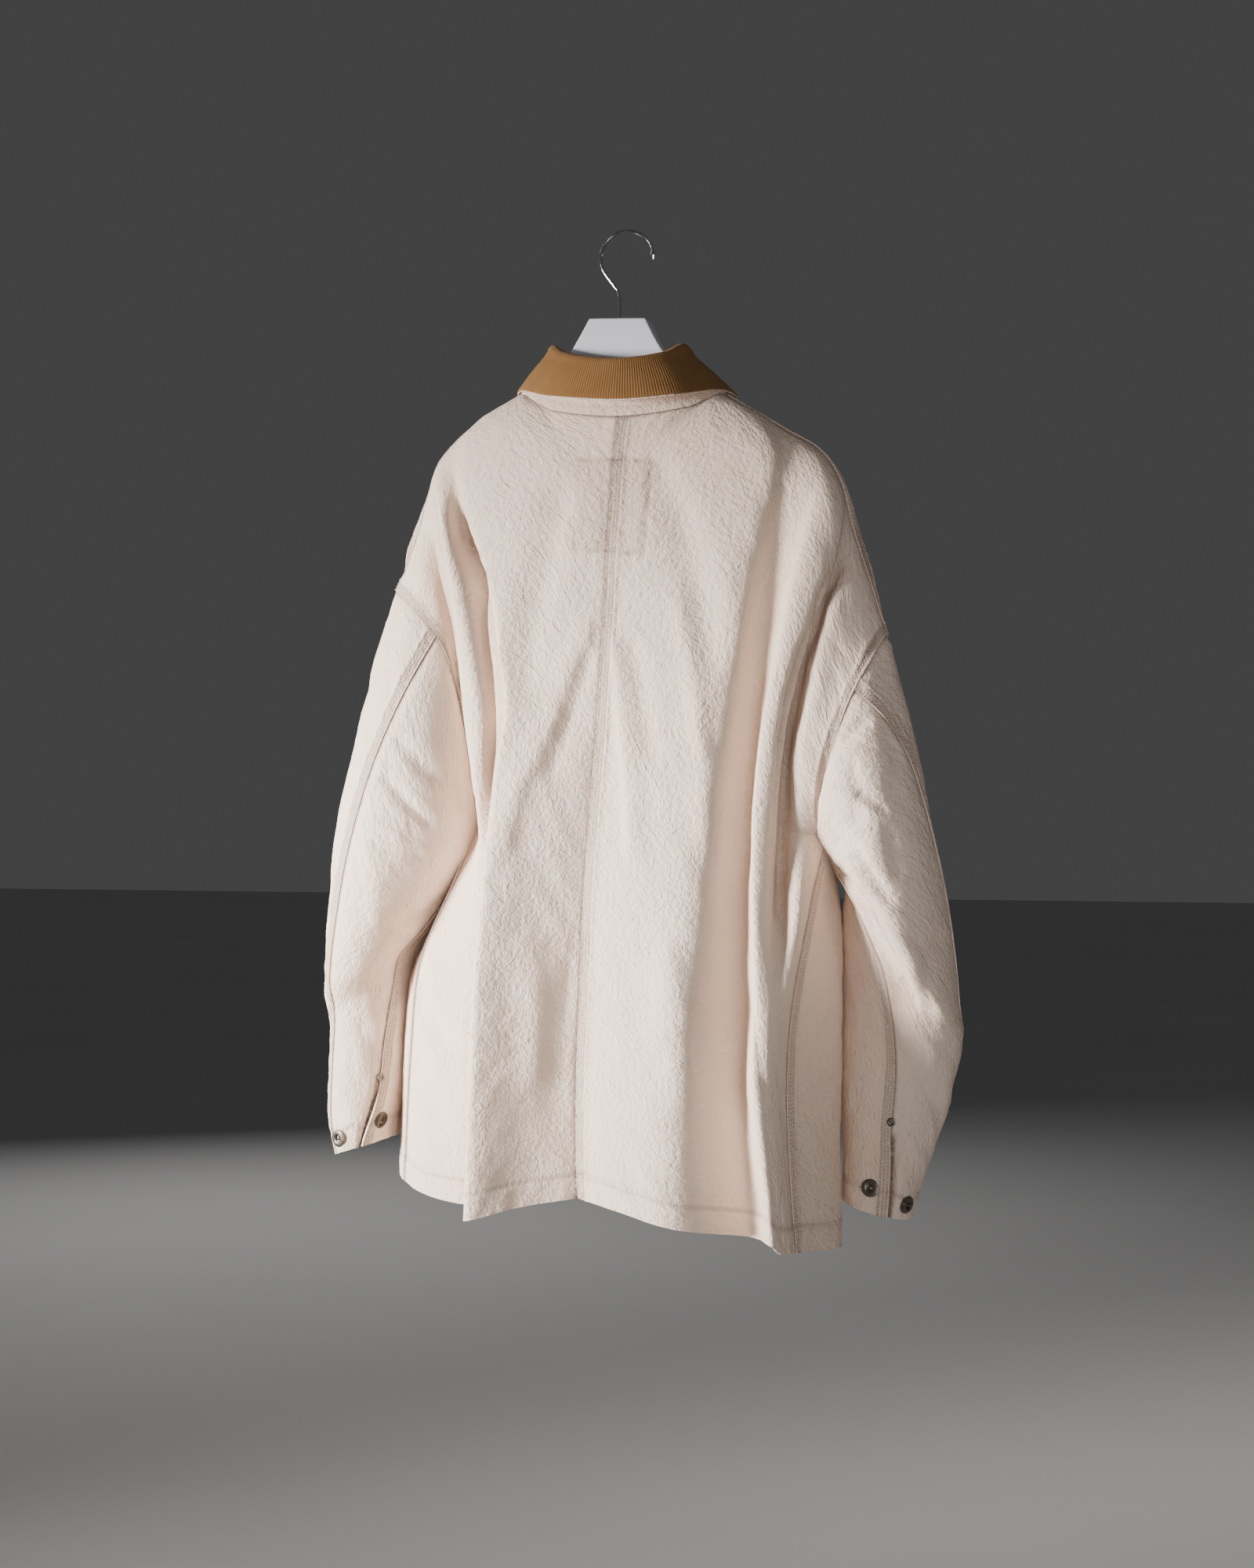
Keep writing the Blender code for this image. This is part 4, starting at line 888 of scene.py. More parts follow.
@dataclass
class ClothSheet:
    """One cut piece of cloth as a thin closed shell.

    Attributes:
        name: Name of the finished object.
        points: Grid of points on the middle of the cloth.
        facing: +1 or -1, turning the grid's normals outwards.
        seams: Its sewn edges.
        seed: Shift that makes its creases its own.
        crumple: Its washed creases.
        creases: Its folds, one by one.
        thickness: Thickness of the cloth.
        edge_hold: Width beside a seam over which the creases fade.
        normals: Outward normals at the points.
        outer: Grid of the outer face, once built.
        groove: How much painted shade each point gets in creases, along seams and stitch rows, for the
            material.
    """

    name: str
    points: np.ndarray
    facing: int
    seams: tuple[Seam, ...]
    seed: float
    crumple: Crumple = Crumple()
    creases: tuple[Crease, ...] = ()
    thickness: float = 0.0013
    edge_hold: float = 0.013
    normals: np.ndarray = field(init=False)
    outer: np.ndarray = field(init=False)
    groove: np.ndarray = field(init=False)

    def __post_init__(self) -> None:
        """Work out the normals of the bare surface."""
        self.normals = unit(grid_normals(self.points)) * self.facing
        self.outer = self.points
        self.groove = np.zeros(self.points.shape[:2])

    def from_edge(self, grid: np.ndarray, side: Side) -> np.ndarray:
        """Turn a grid so that it runs along one edge and then inwards from it."""
        if side in (Side.TOP, Side.BOTTOM):
            grid = grid.swapaxes(0, 1)
        return grid[:, ::-1] if side in (Side.BOTTOM, Side.LAST) else grid

    def to_grid(self, grid: np.ndarray, side: Side) -> np.ndarray:
        """Undo from_edge."""
        grid = grid[:, ::-1] if side in (Side.BOTTOM, Side.LAST) else grid
        return grid.swapaxes(0, 1) if side in (Side.TOP, Side.BOTTOM) else grid

    def cloth_places(self) -> np.ndarray:
        """Give each point's place on the cloth in metres: to the right as seen, and down.

        Returns:
            Two numbers for each point of the grid.
        """
        right = arc_lengths(self.points, 1).mean(axis=0)[None] * -self.facing
        down = arc_lengths(self.points, 0).mean(axis=1)[:, None]
        return np.stack(np.broadcast_arrays(right, down), axis=-1)

    def lift(self) -> tuple[np.ndarray, np.ndarray]:
        """Give the lift of the cloth and the extra height of its doubled bands, and work out its painted
        shade.

        Returns:
            Both in metres, for each point of the grid.
        """
        lift = self.crumple.lift(self.cloth_places(), self.seed)
        band = np.zeros_like(lift)
        hold = np.ones_like(lift)
        self.groove = np.zeros_like(lift)
        # Painted shade at the bottom of the folds
        for crease in self.creases:
            height, dark = crease.lift(self.points, self.normals)
            lift += height
            self.groove += dark
        for index, seam in enumerate(self.seams):
            grid = self.from_edge(self.points, seam.side)
            inward = arc_lengths(grid, 1)
            along = arc_lengths(grid, 0)
            place = np.stack([along + 0.35 * inward, inward * 0.3], axis=-1)
            waves = noise_field(place, 95.0, self.seed + 50 + index)
            fade = np.exp(-(inward / 0.019) ** 2) * smooth(inward / 0.002)
            share = along / along[-1]
            here = smooth((share - seam.start) / 0.01 + 1) * smooth((seam.end - share) / 0.01 + 1)
            pucker = seam.pucker * waves * fade * here
            depth = 0.5 if seam.side is Side.BOTTOM else 1.0
            if seam.width:
                step = 1 - smooth((inward - seam.width + seam.slope / 2) / seam.slope)
                narrow = seam.width < BROAD_BAND
                rows = sum(np.exp(-((inward - row) / ROW_SPAN) ** 2) for row in seam.rows)
                rows = rows * narrow
                edge = np.exp(-((inward - seam.width) / EDGE_SPAN) ** 2)
                edge = edge * (seam.slope < SOFT_SLOPE) * narrow
                band += self.to_grid((step * seam.rise - ROW_DEPTH * rows) * here, seam.side)
                # Painted shade along the stitch rows and the band's edge, half as strong at the hem
                self.groove += self.to_grid((rows * 1.05 + edge * 0.8) * here * depth, seam.side)
            elif seam.side is not Side.BOTTOM:
                # Painted shade along the seam line, moved out to the gap's distance where a gap is given
                self.groove += self.to_grid(
                    1.2 * np.exp(-((inward - seam.gap) / GAP_SPAN) ** 2) * here, seam.side)
            band += self.to_grid(pucker, seam.side)
            if seam.side is not Side.BOTTOM and not seam.gap:
                hold *= self.to_grid(smooth(inward / self.edge_hold), seam.side)
        return lift * hold, band

    def build(self, finish: bpy.types.Material) -> bpy.types.Object:
        """Make the shell.

        Args:
            finish: The cloth's material.

        Returns:
            The finished object.
        """
        lift, band = self.lift()
        half = self.thickness / 2
        self.outer = self.points + self.normals * (lift + band + half)[..., None]
        inner = self.points + self.normals * (lift - half)[..., None]
        rows, columns = self.points.shape[:2]
        places = self.cloth_places().reshape(-1, 2)
        item = make_shell(self.name, self.outer, inner, places, finish, rows, columns)
        # The first layer holds the painted shade of creases and seams; the second, the depth in a fold,
        # drives a painted warm shade in the folds
        for name, values in (("groove", np.clip(self.groove, 0, GROOVE_LIMIT)), ("hollow", self.hollow())):
            layer = item.data.attributes.new(name, "FLOAT", "POINT")
            flat = values.ravel().astype(np.float32)
            layer.data.foreach_set("value", np.concatenate([flat, flat]))
        return item

    def hollow(self, reach: int = 11, depth: float = 0.009) -> np.ndarray:
        """Tell how deep each point lies in a fold, from 0 to 1, for the painted warm shade in folds.

        Args:
            reach: How many points away its neighbours are taken.
            depth: Depth in metres that counts as 1.

        Returns:
            A number for each point of the grid.
        """
        total = np.zeros(self.points.shape[:2])
        for axis, count in enumerate(self.points.shape[:2]):
            before = np.clip(np.arange(count) - reach, 0, count - 1)
            after = np.clip(np.arange(count) + reach, 0, count - 1)
            middle = (self.points.take(before, axis) + self.points.take(after, axis)) / 2
            total += ((middle - self.points) * self.normals).sum(axis=-1)
        return np.clip(total / depth, 0, 1)

    def path(self, side: Side, distance: float, start: float = 0.0,
             end: float = 1.0) -> tuple[np.ndarray, np.ndarray]:
        """Give a line on the outer face at one distance from an edge.

        Args:
            side: The edge.
            distance: Distance from it.
            start: Share of the edge at which the line starts.
            end: Share at which it ends.

        Returns:
            The line's points and normals.
        """
        grid = self.from_edge(self.outer, side)
        normals = self.from_edge(self.normals, side)
        inward = arc_lengths(self.from_edge(self.points, side), 1)
        along = arc_lengths(grid, 0)[:, 0]
        use = (along >= start * along[-1]) & (along <= end * along[-1])
        points = []
        for line, line_normals, reach in zip(grid[use], normals[use], inward[use]):
            both = np.column_stack([line, line_normals])
            points.append([np.interp(distance, reach, column) for column in both.T])
        found = np.array(points)
        return found[:, :3], unit(found[:, 3:])


def make_shell(name: str, outer: np.ndarray, inner: np.ndarray, places: np.ndarray,
               finish: bpy.types.Material, rows: int, columns: int) -> bpy.types.Object:
    """Close two layers of a grid into one thin shell.

    Args:
        name: Name of the object.
        outer: Grid of the outer face.
        inner: Grid of the inner face.
        places: Place of each grid point on the cloth, kept as the UV map.
        finish: Its material.
        rows: Rows of the grid.
        columns: Columns of the grid.

    Returns:
        The finished object.
    """
    layer = rows * columns
    quads = grid_quads(rows, columns)
    rim = np.concatenate([np.arange(columns), np.arange(2, rows + 1) * columns - 1,
                          np.arange(layer - 2, layer - columns - 1, -1),
                          np.arange(rows - 2, 0, -1) * columns])
    following = np.roll(rim, -1)
    walls = np.stack([rim, following, following + layer, rim + layer], axis=1)
    faces = np.concatenate([quads, quads[:, ::-1] + layer, walls])
    vertices = np.concatenate([outer.reshape(-1, 3), inner.reshape(-1, 3)])
    mesh = bpy.data.meshes.new(name)
    mesh.from_pydata(vertices.tolist(), [], faces.tolist())
    places = np.concatenate([places, places])
    layer_map = mesh.uv_layers.new(name="cloth")
    layer_map.data.foreach_set("uv", places[faces.ravel()].ravel().astype(np.float32))
    mesh.materials.append(finish)
    item = bpy.data.objects.new(name, mesh)
    bpy.context.collection.objects.link(item)
    face_outwards(item)
    mesh.shade_smooth()
    mesh.set_sharp_from_angle(angle=math.radians(60))
    return item


def face_outwards(item: bpy.types.Object) -> None:
    """Turn the faces of a closed mesh outwards.

    Args:
        item: The object.
    """
    select_only(item)
    bpy.ops.object.mode_set(mode="EDIT")
    bpy.ops.mesh.select_all(action="SELECT")
    bpy.ops.mesh.normals_make_consistent(inside=False)
    bpy.ops.object.mode_set(mode="OBJECT")
    item.select_set(False)


def select_only(item: bpy.types.Object) -> None:
    """Select one object and nothing else.

    Args:
        item: The object.
    """
    bpy.ops.object.select_all(action="DESELECT")
    item.select_set(True)
    bpy.context.view_layer.objects.active = item


def ease_seam_normals(sheets: list[ClothSheet], reach: float = 0.008,
                      touch: float = 0.003) -> None:
    """Let the normals of sheets that are sewn together meet at their seams.

    Args:
        sheets: All the sheets.
        reach: How far into a sheet its normals are eased.
        touch: How near two edges are to count as sewn together.
    """
    edges = []
    for index, sheet in enumerate(sheets):
        for side in Side:
            points = sheet.from_edge(sheet.points, side)[:, 0]
            normals = sheet.from_edge(sheet.normals, side)[:, 0].copy()
            edges.append((index, side, points, normals))
    for index, side, points, normals in edges:
        total = normals.copy()
        for other, _, other_points, other_normals in edges:
            if other == index:
                continue
            apart = np.linalg.norm(points[:, None] - other_points[None], axis=-1)
            nearest = apart.argmin(axis=1)
            partner = other_normals[nearest]
            use = (apart.min(axis=1) < touch) & ((partner * normals).sum(axis=1) > -0.2)
            total += partner * use[:, None]
        change = unit(total) - normals
        sheet = sheets[index]
        grid = sheet.from_edge(sheet.normals, side)
        hold = 1 - smooth(arc_lengths(sheet.from_edge(sheet.points, side), 1) / reach)
        eased = unit(grid + change[:, None] * hold[..., None])
        sheet.normals = sheet.to_grid(eased, side).copy()


@dataclass
class StitchRun:
    """Thread stitches laid along lines on the cloth.

    Attributes:
        name: Name of the finished object.
        pitch: Distance from one stitch to the next.
        length: Length of a stitch.
        radius: Radius of the thread.
        lines: Lines of points and normals to be stitched.
    """

    name: str
    pitch: float = 0.0034
    length: float = 0.0024
    radius: float = 0.00040
    lines: list[tuple[np.ndarray, np.ndarray]] = field(default_factory=list)

    def add(self, line: tuple[np.ndarray, np.ndarray]) -> None:
        """Add a line of points and normals to be stitched."""
        self.lines.append(line)

    def build(self, finish: bpy.types.Material) -> bpy.types.Object:
        """Make all the stitches as one object.

        Args:
            finish: The thread's material.

        Returns:
            The finished object.
        """
        rings = ((-0.5, 0.35), (0.0, 1.0), (0.5, 0.35))
        vertices, faces = [], []
        for points, normals in self.lines:
            reach = np.concatenate([[0], np.cumsum(np.linalg.norm(np.diff(points, axis=0), axis=1))])
            starts = np.arange(self.pitch / 2, reach[-1] - self.length / 2, self.pitch)
            for middle in starts:
                ends = [np.array([np.interp(middle + side * self.length / 2, reach, column)
                                  for column in points.T]) for side in (-1, 1)]
                up = unit(np.array([np.interp(middle, reach, column) for column in normals.T]))
                along = unit(ends[1] - ends[0])
                side_way = np.cross(along, up)
                centre = (ends[0] + ends[1]) / 2
                first = len(vertices)
                for place, share in rings:
                    for turn in range(4):
                        angle = math.pi / 2 * turn
                        offset = (side_way * math.cos(angle) + up * math.sin(angle)) * share
                        vertices.append(centre + along * place * self.length
                                        + offset * self.radius)
                for ring in range(2):
                    for turn in range(4):
                        low = first + ring * 4
                        faces.append((low + turn, low + (turn + 1) % 4,
                                      low + 4 + (turn + 1) % 4, low + 4 + turn))
                faces.append((first + 3, first + 2, first + 1, first))
                faces.append((first + 8, first + 9, first + 10, first + 11))
        mesh = bpy.data.meshes.new(self.name)
        mesh.from_pydata([tuple(vertex) for vertex in vertices], [], faces)
        mesh.materials.append(finish)
        item = bpy.data.objects.new(self.name, mesh)
        bpy.context.collection.objects.link(item)
        face_outwards(item)
        mesh.shade_smooth()
        return item


class NodeBench:
    """A material's node tree, with short ways to add and join nodes."""

    def __init__(self, name: str) -> None:
        """Start a material.

        Args:
            name: Name of the material.
        """
        self.material = bpy.data.materials.new(name)
        self.material.use_nodes = True
        self.tree = self.material.node_tree
        self.shader = self.tree.nodes["Principled BSDF"]
        self.places = self.tree.nodes.new("ShaderNodeTexCoord")

    def node(self, kind: str, settings: dict | None = None, **links: object) -> bpy.types.Node:
        """Add a node.

        Args:
            kind: Its type, without the common prefix.
            settings: Properties to set on it.
            links: Inputs by name, with _ for a space, or i0, i1 for inputs by number; a socket is
                joined and a number or a tuple is set.

        Returns:
            The node.
        """
        made = self.tree.nodes.new("ShaderNode" + kind)
        for name, value in (settings or {}).items():
            setattr(made, name, value)
        for name, value in links.items():
            socket = made.inputs[int(name[1:])] if name[1:].isdigit() else \
                made.inputs[name.replace("_", " ")]
            if isinstance(value, bpy.types.NodeSocket):
                self.tree.links.new(value, socket)
            else:
                socket.default_value = value
        return made

    def math(self, kind: str, first: object, second: object = 0.0) -> bpy.types.NodeSocket:
        """Work out one number from two."""
        return self.node("Math", {"operation": kind}, i0=first, i1=second).outputs[0]

    def noise(self, where: bpy.types.NodeSocket, scale: float, detail: float = 2.0,
              rough: float = 0.5) -> bpy.types.NodeSocket:
        """Read a noise pattern."""
        return self.node("TexNoise", Vector=where, Scale=scale, Detail=detail,
                         Roughness=rough).outputs["Fac"]

    def stretched(self, where: bpy.types.NodeSocket, scale: tuple[float, float, float],
                  turn: float = 0.0) -> bpy.types.NodeSocket:
        """Turn places about the Z axis and then scale them."""
        shrink = tuple(1 / value for value in scale)
        return self.node("Mapping", {"vector_type": "TEXTURE"}, Vector=where, Scale=shrink,
                         Rotation=(0, 0, math.radians(turn))).outputs[0]

    def blend(self, share: object, first: object, second: object) -> bpy.types.NodeSocket:
        """Mix two colours.

        Args:
            share: How much of the second, a socket or a number.
            first: First colour.
            second: Second colour.

        Returns:
            The mixed colour.
        """
        made = self.node("Mix", {"data_type": "RGBA"})
        for index, value in ((0, share), (6, first), (7, second)):
            if isinstance(value, bpy.types.NodeSocket):
                self.tree.links.new(value, made.inputs[index])
            else:
                made.inputs[index].default_value = value
        return made.outputs[2]

    def ramp(self, value: bpy.types.NodeSocket, low: float, high: float) -> bpy.types.NodeSocket:
        """Stretch a number from low to high out to 0 to 1.

        Args:
            value: The number.
            low: What becomes 0.
            high: What becomes 1.

        Returns:
            The stretched number.
        """
        made = self.node("MapRange", {"interpolation_type": "SMOOTHSTEP"}, Value=value)
        made.inputs["From Min"].default_value = low
        made.inputs["From Max"].default_value = high
        return made.outputs[0]

    def bump(self, height: bpy.types.NodeSocket, distance: float, strength: float = 1.0,
             below: bpy.types.NodeSocket | None = None) -> bpy.types.NodeSocket:
        """Add relief over any relief below it.

        Args:
            height: Pattern of the relief.
            distance: Its height in metres.
            strength: How strongly it shows.
            below: Relief to add it to.

        Returns:
            The joint relief.
        """
        made = self.node("Bump", Height=height, Distance=distance, Strength=strength)
        if below is not None:
            self.tree.links.new(below, made.inputs["Normal"])
        return made.outputs[0]

    def finish(self, colour: object, roughness: object, normal: object = None,
               **settings: float) -> bpy.types.Material:
        """Set the shader.

        Args:
            colour: Base colour, a socket or four numbers.
            roughness: A socket or a number.
            normal: Relief, or nothing.
            settings: Other shader inputs by name, with _ for a space.

        Returns:
            The finished material.
        """
        for name, value in (("Base Color", colour), ("Roughness", roughness), ("Normal", normal)):
            if isinstance(value, bpy.types.NodeSocket):
                self.tree.links.new(value, self.shader.inputs[name])
            elif value is not None:
                self.shader.inputs[name].default_value = value
        for name, value in settings.items():
            self.shader.inputs[name.replace("_", " ")].default_value = value
        return self.material


@dataclass(frozen=True)
class CanvasFinish:
    """Washed ecru canvas with slubs, seed flecks and a crepe-like grain."""

    name: str = "washed_canvas"
    light: tuple[float, float, float, float] = (0.87, 0.70, 0.585, 1)
    warm: tuple[float, float, float, float] = (0.85, 0.645, 0.495, 1)
    # deep is a painted warm shade for the bottom of folds
    deep: tuple[float, float, float, float] = (0.83, 0.61, 0.42, 1)
    # shade is the painted shade of creases, seam lines and stitch rows
    shade: tuple[float, float, float, float] = (0.26, 0.19, 0.155, 1)
    fleck: tuple[float, float, float, float] = (0.34, 0.22, 0.13, 1)

    def relief(self, bench: NodeBench) -> tuple[bpy.types.NodeSocket, bpy.types.NodeSocket]:
        """Add the threads, the crepe grain and the sharp small creases.

        Args:
            bench: The material's node tree.

        Returns:
            The pattern of the threads, and the relief.
        """
        cloth = bench.places.outputs["UV"]
        warp = bench.noise(bench.stretched(cloth, (1100, 90, 1)), 1.0, 1.0)
        weft = bench.noise(bench.stretched(cloth, (80, 900, 1)), 1.0, 1.0)
        threads = bench.math("ADD", warp, weft)
        normal = bench.bump(threads, 0.00022, 0.75)
        crepe = bench.noise(bench.stretched(cloth, (1.0, 0.85, 1), -34), 620.0, 4.0, 0.7)
        normal = bench.bump(crepe, 0.0008, 0.9, normal)
        puffs = bench.noise(bench.stretched(cloth, (1.0, 0.82, 1), -42), 230.0, 2.5, 0.6)
        normal = bench.bump(puffs, 0.0026, 0.85, normal)
        for turn, scale, shift in ((-34, 62.0, 0.0), (-55, 70.0, 3.0), (38, 74.0, 7.0)):
            moved = bench.node("VectorMath", {"operation": "ADD"}, i0=cloth,
                               i1=(shift, shift, 0)).outputs[0]
            place = bench.stretched(moved, (1.0, 0.22, 1), turn)
            lines = bench.math("ABSOLUTE", bench.math(
                "SUBTRACT", bench.noise(place, scale, 2.0, 0.4), 0.5))
            sharp = bench.math("SUBTRACT", 1.0, bench.ramp(lines, 0.0, 0.03))
            where = bench.ramp(bench.noise(place, scale * 1.1, 1.0), 0.57, 0.68)
            normal = bench.bump(bench.math("MULTIPLY", sharp, where), 0.0005, 0.7, normal)
        return threads, normal

    def build(self) -> bpy.types.Material:
        """Make the material.

        Returns:
            The finished material.
        """
        bench = NodeBench(self.name)
        cloth = bench.places.outputs["UV"]
        solid = bench.places.outputs["Object"]
        threads, normal = self.relief(bench)
        patches = bench.ramp(bench.noise(solid, 9.0, 3.0), 0.35, 0.75)
        colour = bench.blend(bench.math("MULTIPLY", patches, 0.3), self.light, self.warm)
        thread_tone = bench.ramp(threads, 0.75, 1.3)
        colour = bench.blend(bench.math("MULTIPLY", thread_tone, 0.12), colour, self.warm)
        # Painted warm shade deep in the folds
        hollow = bench.node("Attribute", {"attribute_name": "hollow"}).outputs["Fac"]
        colour = bench.blend(bench.math("MULTIPLY", hollow, 0.15), colour, self.deep)
        # Painted shade along creases, seam lines and stitch rows, shown in patches
        groove = bench.node("Attribute", {"attribute_name": "groove"}).outputs["Fac"]
        wear_and_shade_patches = bench.ramp(bench.noise(solid, 300.0, 2.0), 0.1, 0.5)
        painted_shade_amount = bench.math("MULTIPLY", bench.math("MULTIPLY", groove, wear_and_shade_patches), 0.8)
        colour = bench.blend(painted_shade_amount, colour, self.shade)
        seeds = bench.node("TexVoronoi", {"feature": "F1"},
                           Vector=bench.stretched(cloth, (26, 40, 1), 20), Scale=1.0,
                           Randomness=1.0)
        near = bench.math("LESS_THAN", seeds.outputs["Distance"], 0.030)
        chosen = bench.math("GREATER_THAN", seeds.outputs["Color"], 0.7)
        speck = bench.math("MULTIPLY", bench.math("MULTIPLY", near, chosen), 0.6)
        colour = bench.blend(speck, colour, self.fleck)
        return bench.finish(colour, 0.93, normal, Specular_IOR_Level=0.12)


@dataclass(frozen=True)
class CorduroyFinish:
    """Fine-ribbed corduroy, with painted shade in the channels between its ribs. The UV map counts the
    ribs.
    """

    name: str = "ribbed_corduroy"
    crest: tuple[float, float, float, float] = (0.31, 0.163, 0.056, 1)
    # Painted shade in the channels between the ribs
    groove: tuple[float, float, float, float] = (0.20, 0.095, 0.036, 1)
    wear_and_shade_patches: tuple[float, float, float, float] = (0.42, 0.22, 0.095, 1)

    def build(self) -> bpy.types.Material:
        """Make the material.

        Returns:
            The finished material.
        """
        bench = NodeBench(self.name)
        cloth = bench.places.outputs["UV"]
        split = bench.node("SeparateXYZ", Vector=cloth)
        wave = bench.math("COSINE", bench.math("MULTIPLY", split.outputs[0], 2 * math.pi))
        crest = bench.ramp(wave, -1.0, 0.35)
        pile = bench.noise(bench.stretched(cloth, (4.0, 2600, 1)), 1.0, 2.0)
        nap = bench.ramp(bench.noise(bench.places.outputs["Object"], 60.0, 3.0), 0.4, 0.75)
        # Painted shade in the channels between the ribs
        colour = bench.blend(crest, self.groove, self.crest)
        wear = bench.math("MULTIPLY", bench.math("MULTIPLY", crest, nap), 0.45)
        colour = bench.blend(wear, colour, self.wear_and_shade_patches)
        normal = bench.bump(pile, 0.00025, 0.7)
        return bench.finish(colour, 0.95, normal, Sheen_Weight=0.12, Sheen_Roughness=0.45,
                            Specular_IOR_Level=0.1)


@dataclass(frozen=True)
class ThreadFinish:
    """Matt cotton sewing thread with a fine twist."""

    name: str = "cotton_thread"
    tone: tuple[float, float, float, float] = (0.88, 0.74, 0.63, 1)
    dark: tuple[float, float, float, float] = (0.70, 0.55, 0.43, 1)

    def build(self) -> bpy.types.Material:
        """Make the material.

        Returns:
            The finished material.
        """
        bench = NodeBench(self.name)
        twist = bench.noise(bench.places.outputs["Object"], 2400.0, 1.0)
        shade = bench.blend(bench.ramp(twist, 0.3, 0.7), self.dark, self.tone)
        return bench.finish(shade, 0.8, bench.bump(twist, 0.0001, 0.6))


@dataclass(frozen=True)
class MetalFinish:
    """Plated metal, rubbed bright on its high parts and dull in its hollows."""

    name: str
    bright: tuple[float, float, float, float]
    dull: tuple[float, float, float, float]
    rough: tuple[float, float]

    def build(self) -> bpy.types.Material:
        """Make the material.

        Returns:
            The finished material.
        """
        bench = NodeBench(self.name)
        solid = bench.places.outputs["Object"]
        wear = bench.ramp(bench.noise(solid, 1100.0, 3.0), 0.3, 0.75)
        colour = bench.blend(wear, self.dull, self.bright)
        low, high = self.rough
        rough = bench.math("ADD", bench.math("MULTIPLY", wear, low - high), high)
        scratch = bench.noise(bench.stretched(solid, (900, 900, 200)), 1.0, 2.0)
        return bench.finish(colour, rough, bench.bump(scratch, 0.00004, 0.5), Metallic=1.0)


@dataclass(frozen=True)
class PlasticFinish:
    """Smooth white moulded plastic with a faint moulding texture."""

    name: str = "moulded_plastic"
    tone: tuple[float, float, float, float] = (0.84, 0.87, 0.94, 1)

    def build(self) -> bpy.types.Material:
        """Make the material.

        Returns:
            The finished material.
        """
        bench = NodeBench(self.name)
        solid = bench.places.outputs["Object"]
        flow = bench.ramp(bench.noise(solid, 25.0, 2.0), 0.3, 0.7)
        colour = bench.blend(bench.math("MULTIPLY", flow, 0.3), self.tone, (0.78, 0.81, 0.88, 1))
        rough = bench.math("ADD", bench.math("MULTIPLY", flow, 0.08), 0.30)
        grain = bench.bump(bench.noise(solid, 900.0, 2.0), 0.00003, 0.4)
        return bench.finish(colour, rough, grain, Coat_Weight=0.15)


@dataclass(frozen=True)
class FloorFinish:
    """Plain pale floor."""

    name: str = "pale_floor"

    def build(self) -> bpy.types.Material:
        """Make the material.

        Returns:
            The finished material.
        """
        bench = NodeBench(self.name)
        tone = bench.ramp(bench.noise(bench.places.outputs["Object"], 1.2, 3.0), 0.2, 0.8)
        colour = bench.blend(tone, (0.52, 0.52, 0.52, 1), (0.56, 0.56, 0.56, 1))
        return bench.finish(colour, 0.9)


